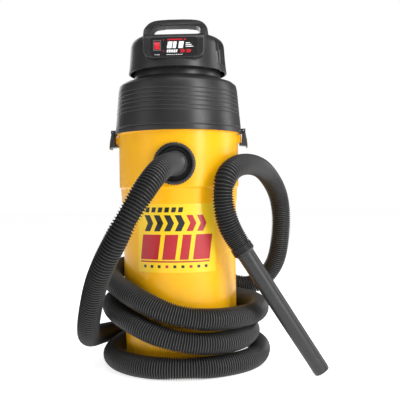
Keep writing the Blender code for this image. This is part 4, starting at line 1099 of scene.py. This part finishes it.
HANDLE_TOP = 0.6613
FRAME_FACE = -0.0955
VOXEL = 0.0011
GRIP_FRONT = [(0.0430, 0.5735), (0.0505, 0.5765), (0.0550, 0.5835), (0.0565, 0.5950), (0.0590, 0.6110),
              (0.0615, 0.6210), (0.0617, 0.6290), (0.0602, 0.6380), (0.0580, 0.6445), (0.0548, 0.6500),
              (0.0495, 0.6550), (0.0410, 0.6588), (0.0300, 0.6604), (0.0150, HANDLE_TOP)]
GRIP_PLAN = [(0.0550, -0.0980), (0.0572, -0.0800), (0.0600, -0.0500), (0.0620, -0.0200), (0.0620, 0.0300)]
GRIP_SIDE = [(FRAME_FACE, 0.5720), (FRAME_FACE, 0.6080), (-0.0935, 0.6140), (-0.0880, 0.6185),
             (-0.0690, 0.6275), (-0.0450, 0.6390), (-0.0340, 0.6480), (-0.0295, 0.6560),
             (-0.0240, HANDLE_TOP + 0.001), (-0.0050, HANDLE_TOP + 0.001), (0.0005, 0.6560), (0.0030, 0.6450),
             (0.0075, 0.6320), (0.0100, 0.6200), (-0.0500, 0.6000), (-0.0700, 0.5720)]
GRIP_GAP = [(FINGER_HALF - 0.003, 0.6175), (FINGER_HALF, 0.6200), (FINGER_HALF, 0.6350), (0.0445, 0.6418),
            (0.0385, 0.6462), (0.0200, 0.6482)]


def mirrored(half):
    return half + [(-a, b) for a, b in reversed(half)]


grip = extruded("grip_and_frame", eased(mirrored(GRIP_FRONT), 0.003), "y", -0.12, 0.03, matte_black)
worked(grip, "INTERSECT", extruded("grip_side", eased(GRIP_SIDE, 0.003), "x", -0.08, 0.08, None))
worked(grip, "INTERSECT", extruded("grip_plan", mirrored(GRIP_PLAN), "z", 0.55, 0.68, None))
worked(grip, "DIFFERENCE", extruded("grip_gap", eased(mirrored(GRIP_GAP), 0.002), "y", -0.13, 0.04, None))
soften = grip.modifiers.new("voxels", "REMESH")
soften.mode = "VOXEL"
soften.voxel_size = VOXEL
smooth = grip.modifiers.new("soft_edges", "SMOOTH")
smooth.factor = 0.5
smooth.iterations = 10
settled(grip)
panel_half = [(0.0355, 0.5755), (0.0415, 0.5805), (0.0415, 0.6085), (0.0395, 0.6105)]
worked(grip, "DIFFERENCE", turned("crown", [(0, SKIRT_LOW)] + cover_profile(0.0003), None, 144))
seat_outline = eased(mirrored(panel_half), 0.0015)
panel_seat = extruded("panel_seat", seat_outline, "y", -0.11, FRAME_FACE + 0.0015, None)
worked(grip, "DIFFERENCE", panel_seat, switch_opening())
fit(grip, "head", "moulded_black", "handle_yoke")


# ---------------------------------------------------------------------------------------------------
# The control panel. A glossy black plate let into the frame, printed in white and red with plain
# bars and chevrons, and with a bar and a ring beside the switch for on and off.

PANEL_FACE = FRAME_FACE + 0.0002
INK = 0.00012
OFF_RING_OUTER, OFF_RING_INNER, OFF_RING_PARTS = 0.0015, 0.0008, 16


def panel_ink(work, corners):
    """A flat closed film of ink on the panel's face, its corners given as (x, z)."""
    front = [work.verts.new((a, PANEL_FACE - INK, b)) for a, b in corners]
    back = [work.verts.new((a, PANEL_FACE + INK, b)) for a, b in corners]
    work.faces.new(front)
    work.faces.new(back)
    for k in range(len(corners)):
        n = (k + 1) % len(corners)
        work.faces.new([front[k], front[n], back[n], back[k]])


panel_gloss = plastic("panel_gloss", (0.010, 0.010, 0.011), (0.014, 0.014, 0.015), (0.06, 0.06, 0.06), 0.22,
                      500.0, 0.00002, 0.3, 0.3)
inset_half = [(a - 0.0003, b + (0.0003 if b < 0.59 else -0.0003)) for a, b in panel_half]
panel = extruded("control_panel", eased(mirrored(inset_half), 0.0015), "y", PANEL_FACE, FRAME_FACE + 0.0012,
                 panel_gloss, 0.0002)
worked(panel, "DIFFERENCE", switch_opening())
fit(panel, "head", "moulded_black", "panel_plate")

white_print, red_print = bmesh.new(), bmesh.new()
panel_ink(red_print, slanted(-0.0120, 0.0150, 0.6048, 0.6074, 0.0012))
panel_ink(red_print, slanted(0.0180, 0.0215, 0.6048, 0.6074, 0.0012))
for k, width in enumerate((0.0085, 0.0060, 0.0085)):
    panel_ink(white_print,
              slanted(-0.0125 + 0.0102 * k, -0.0125 + 0.0102 * k + width, 0.5905, 0.6025, 0.0022))
for k in range(3):
    rise = 0.0032 * k
    panel_ink(white_print, slanted(0.0215, 0.0350 - 0.0030 * k, 0.5925 + rise, 0.5940 + rise, 0.0003))
for k in range(5):
    panel_ink(white_print, slanted(-0.0130 + 0.0040 * k, -0.0100 + 0.0040 * k, 0.5830, 0.5880, 0.0009))
for left in (0.0105, 0.0215):
    for half in chevron(left, 0.0075, 0.5826, 0.5884, 0.0030):
        panel_ink(red_print, half)
for count, left, right in ((9, -0.0130, -0.0108), (3, -0.0345, -0.0323)):
    for k in range(count):
        panel_ink(white_print, slanted(left + 0.0033 * k, right + 0.0033 * k, 0.5787, 0.5797))
panel_ink(red_print, slanted(-0.0190, -0.0180, 0.6035, 0.6065))
for k in range(OFF_RING_PARTS):
    start, end = (math.tau * (k + step) / OFF_RING_PARTS for step in (0, 1))
    corners = ((OFF_RING_OUTER, start), (OFF_RING_OUTER, end), (OFF_RING_INNER, end), (OFF_RING_INNER, start))
    panel_ink(red_print, [(-0.0185 + r * math.cos(t), 0.5855 + r * math.sin(t)) for r, t in corners])
white_ink = plastic("panel_white_ink", (0.80, 0.80, 0.80), (0.84, 0.84, 0.84), (0.55, 0.55, 0.55), 0.35,
                    500.0, 0.00002, 0.3)
for name, work, look in (("panel_white_print", white_print, white_ink),
                         ("panel_red_print", red_print, red_ink)):
    fit(piece_from(name, work, look), "head", "moulded_black")


# ---------------------------------------------------------------------------------------------------
# The switch. A grey case snapped through the panel, and a red rocker in it that tips about a line
# across its middle. The rocker's face is dished, with a raised lip at each end.

ROCKER_REST = math.radians(8)
switch_grey = plastic("switch_grey", (0.075, 0.075, 0.078), (0.09, 0.09, 0.094), (0.2, 0.2, 0.2), 0.38)
rocker_red = plastic("rocker_red", (0.56, 0.012, 0.022), (0.60, 0.016, 0.026), (0.7, 0.2, 0.2), 0.28, 700.0,
                     0.00002, 0.3, 0.2)


def switch_box(name, half_x, half_z, front, back, rounded=0.0, look=None):
    low = (SWITCH.x - half_x, front, SWITCH.z - half_z)
    high = (SWITCH.x + half_x, back, SWITCH.z + half_z)
    return cuboid(name, low, high, look, rounded)


switch_case = switch_box("switch_case", 0.0065, 0.0089, FRAME_FACE - 0.0003, -0.0725, look=switch_grey)
worked(switch_case, "UNION",
       switch_box("rim", 0.0073, 0.0097, FRAME_FACE - 0.0012, FRAME_FACE - 0.0001, 0.0003))
worked(switch_case, "DIFFERENCE", switch_box("well", 0.0054, 0.0076, -0.11, -0.0845))
fit(switch_case, "head", "inner_grey", "switch_body")

DISH_LIP, DISH_DEPTH, DISH_HALF = -0.0047, 0.0011, 0.0060
dish_at = (-DISH_HALF, -0.0045, -0.0025, 0.0, 0.0025, 0.0045, DISH_HALF)
dish = [(DISH_LIP + DISH_DEPTH * (1 - (b / DISH_HALF) ** 2), b) for b in dish_at]
rocker_side = [(-0.0043, -0.0066)] + dish + [(-0.0043, 0.0066), (0.0030, 0.0055), (0.0045, 0.0),
                                             (0.0030, -0.0055)]
cosine_rest, sine_rest = math.cos(ROCKER_REST), math.sin(ROCKER_REST)
rocker_side = [(SWITCH.y + a * cosine_rest - b * sine_rest, SWITCH.z + a * sine_rest + b * cosine_rest)
               for a, b in rocker_side]
red_rocker = extruded("red_rocker", eased(rocker_side, 0.0005, 3), "x", SWITCH.x - 0.0050, SWITCH.x + 0.0050,
                      rocker_red, 0.0003)
fit(red_rocker, "rocker", "rocker_red", "rocker")


# ---------------------------------------------------------------------------------------------------
# The cord's gland at the back: a ringed black bush through the cover's wall. The cord isn't fitted.

gland_outline = [(0.0042, 0.0850), (0.0075, 0.0850), (0.0075, 0.0943), (0.0110, 0.0943), (0.0106, 0.0957),
                 (0.0096, 0.0962), (0.0096, 0.0968), (0.0088, 0.0974), (0.0082, 0.0976), (0.0082, 0.0982),
                 (0.0072, 0.0987), (0.0066, 0.0995), (0.0042, 0.0995)]
fit(turned("gland_bush", eased(gland_outline, 0.0004), matte_black, 64, (0, 0, GLAND_HEIGHT), (0, 1, 0)),
    "head", "moulded_black", "cord_gland")


# ---------------------------------------------------------------------------------------------------
# The fasteners and the motor. Their shapes are simple enough to stay as they are: pressed steel
# screws, pins, shaft and bearings, iron cores, copper coils, brass holders, carbon and the fans.


def metal(name, dark, bright, rough, brushed):
    """A bare metal with fine lines drawn along one way, and dull patches where it has been handled."""
    look = bpy.data.materials.new(name)
    look.use_nodes = True
    tree = look.node_tree
    shader = tree.nodes["Principled BSDF"]
    shader.inputs["Metallic"].default_value = 1.0
    place = node(tree, "ShaderNodeTexCoord")
    drawn = node(tree, "ShaderNodeMapping")
    drawn.inputs["Scale"].default_value = brushed
    lines = node(tree, "ShaderNodeTexNoise", scale=1.0, detail=3.0)
    rubs = effect(tree, handling, Amount=0.5)
    bump = node(tree, "ShaderNodeBump", strength=0.3, distance=0.00004)
    streaked = mixed(tree, spread(tree, lines.outputs["Fac"], 0, 1, 0.35, 0.65), dark, bright)
    wire(tree, (place.outputs["Object"], drawn.inputs["Vector"]),
         (drawn.outputs["Vector"], lines.inputs["Vector"]), (place.outputs["Object"], rubs.inputs["Place"]),
         (mixed(tree, rubs.outputs["Marks"], streaked, bright), shader.inputs["Base Color"]),
         (spread(tree, lines.outputs["Fac"], rough - 0.08, rough + 0.10, 0.3, 0.7),
          shader.inputs["Roughness"]),
         (lines.outputs["Fac"], bump.inputs["Height"]), (bump.outputs["Normal"], shader.inputs["Normal"]))
    return look


bright_steel = metal("bright_steel", (0.48, 0.48, 0.49), (0.66, 0.66, 0.67), 0.32, (900, 900, 120))
core_iron = metal("core_iron", (0.20, 0.19, 0.19), (0.36, 0.35, 0.35), 0.45, (60, 60, 2200))
coil_copper = metal("coil_copper", (0.42, 0.13, 0.05), (0.68, 0.28, 0.12), 0.35, (40, 40, 1500))
holder_brass = metal("holder_brass", (0.52, 0.36, 0.14), (0.70, 0.52, 0.24), 0.34, (500, 60, 500))
fan_aluminium = metal("fan_aluminium", (0.60, 0.60, 0.61), (0.78, 0.78, 0.79), 0.36, (300, 300, 300))
brush_carbon = plastic("brush_carbon", (0.016, 0.016, 0.016), (0.026, 0.026, 0.026), (0.10, 0.10, 0.10), 0.55)

PLAIN_PIECES = {
    bright_steel: ["hanger_screw_left", "hanger_screw_right", "latch_pin_left", "latch_pin_right",
                   "head_screw_1", "head_screw_2", "head_screw_3", "head_screw_4", "bearing_lower",
                   "bearing_upper", "motor_shaft"],
    core_iron: ["stator_core", "armature"],
    coil_copper: ["field_coil_front", "field_coil_rear", "commutator"],
    holder_brass: ["brush_holder_left", "brush_holder_right"],
    brush_carbon: ["carbon_brush_left", "carbon_brush_right"],
    inner_grey: ["motor_bridge"],
    matte_black: ["cooling_fan"],
    fan_aluminium: ["impeller"],
}
for look, names in PLAIN_PIECES.items():
    for name in names:
        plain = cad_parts[name]
        plain.data.materials.clear()
        plain.data.materials.append(look)
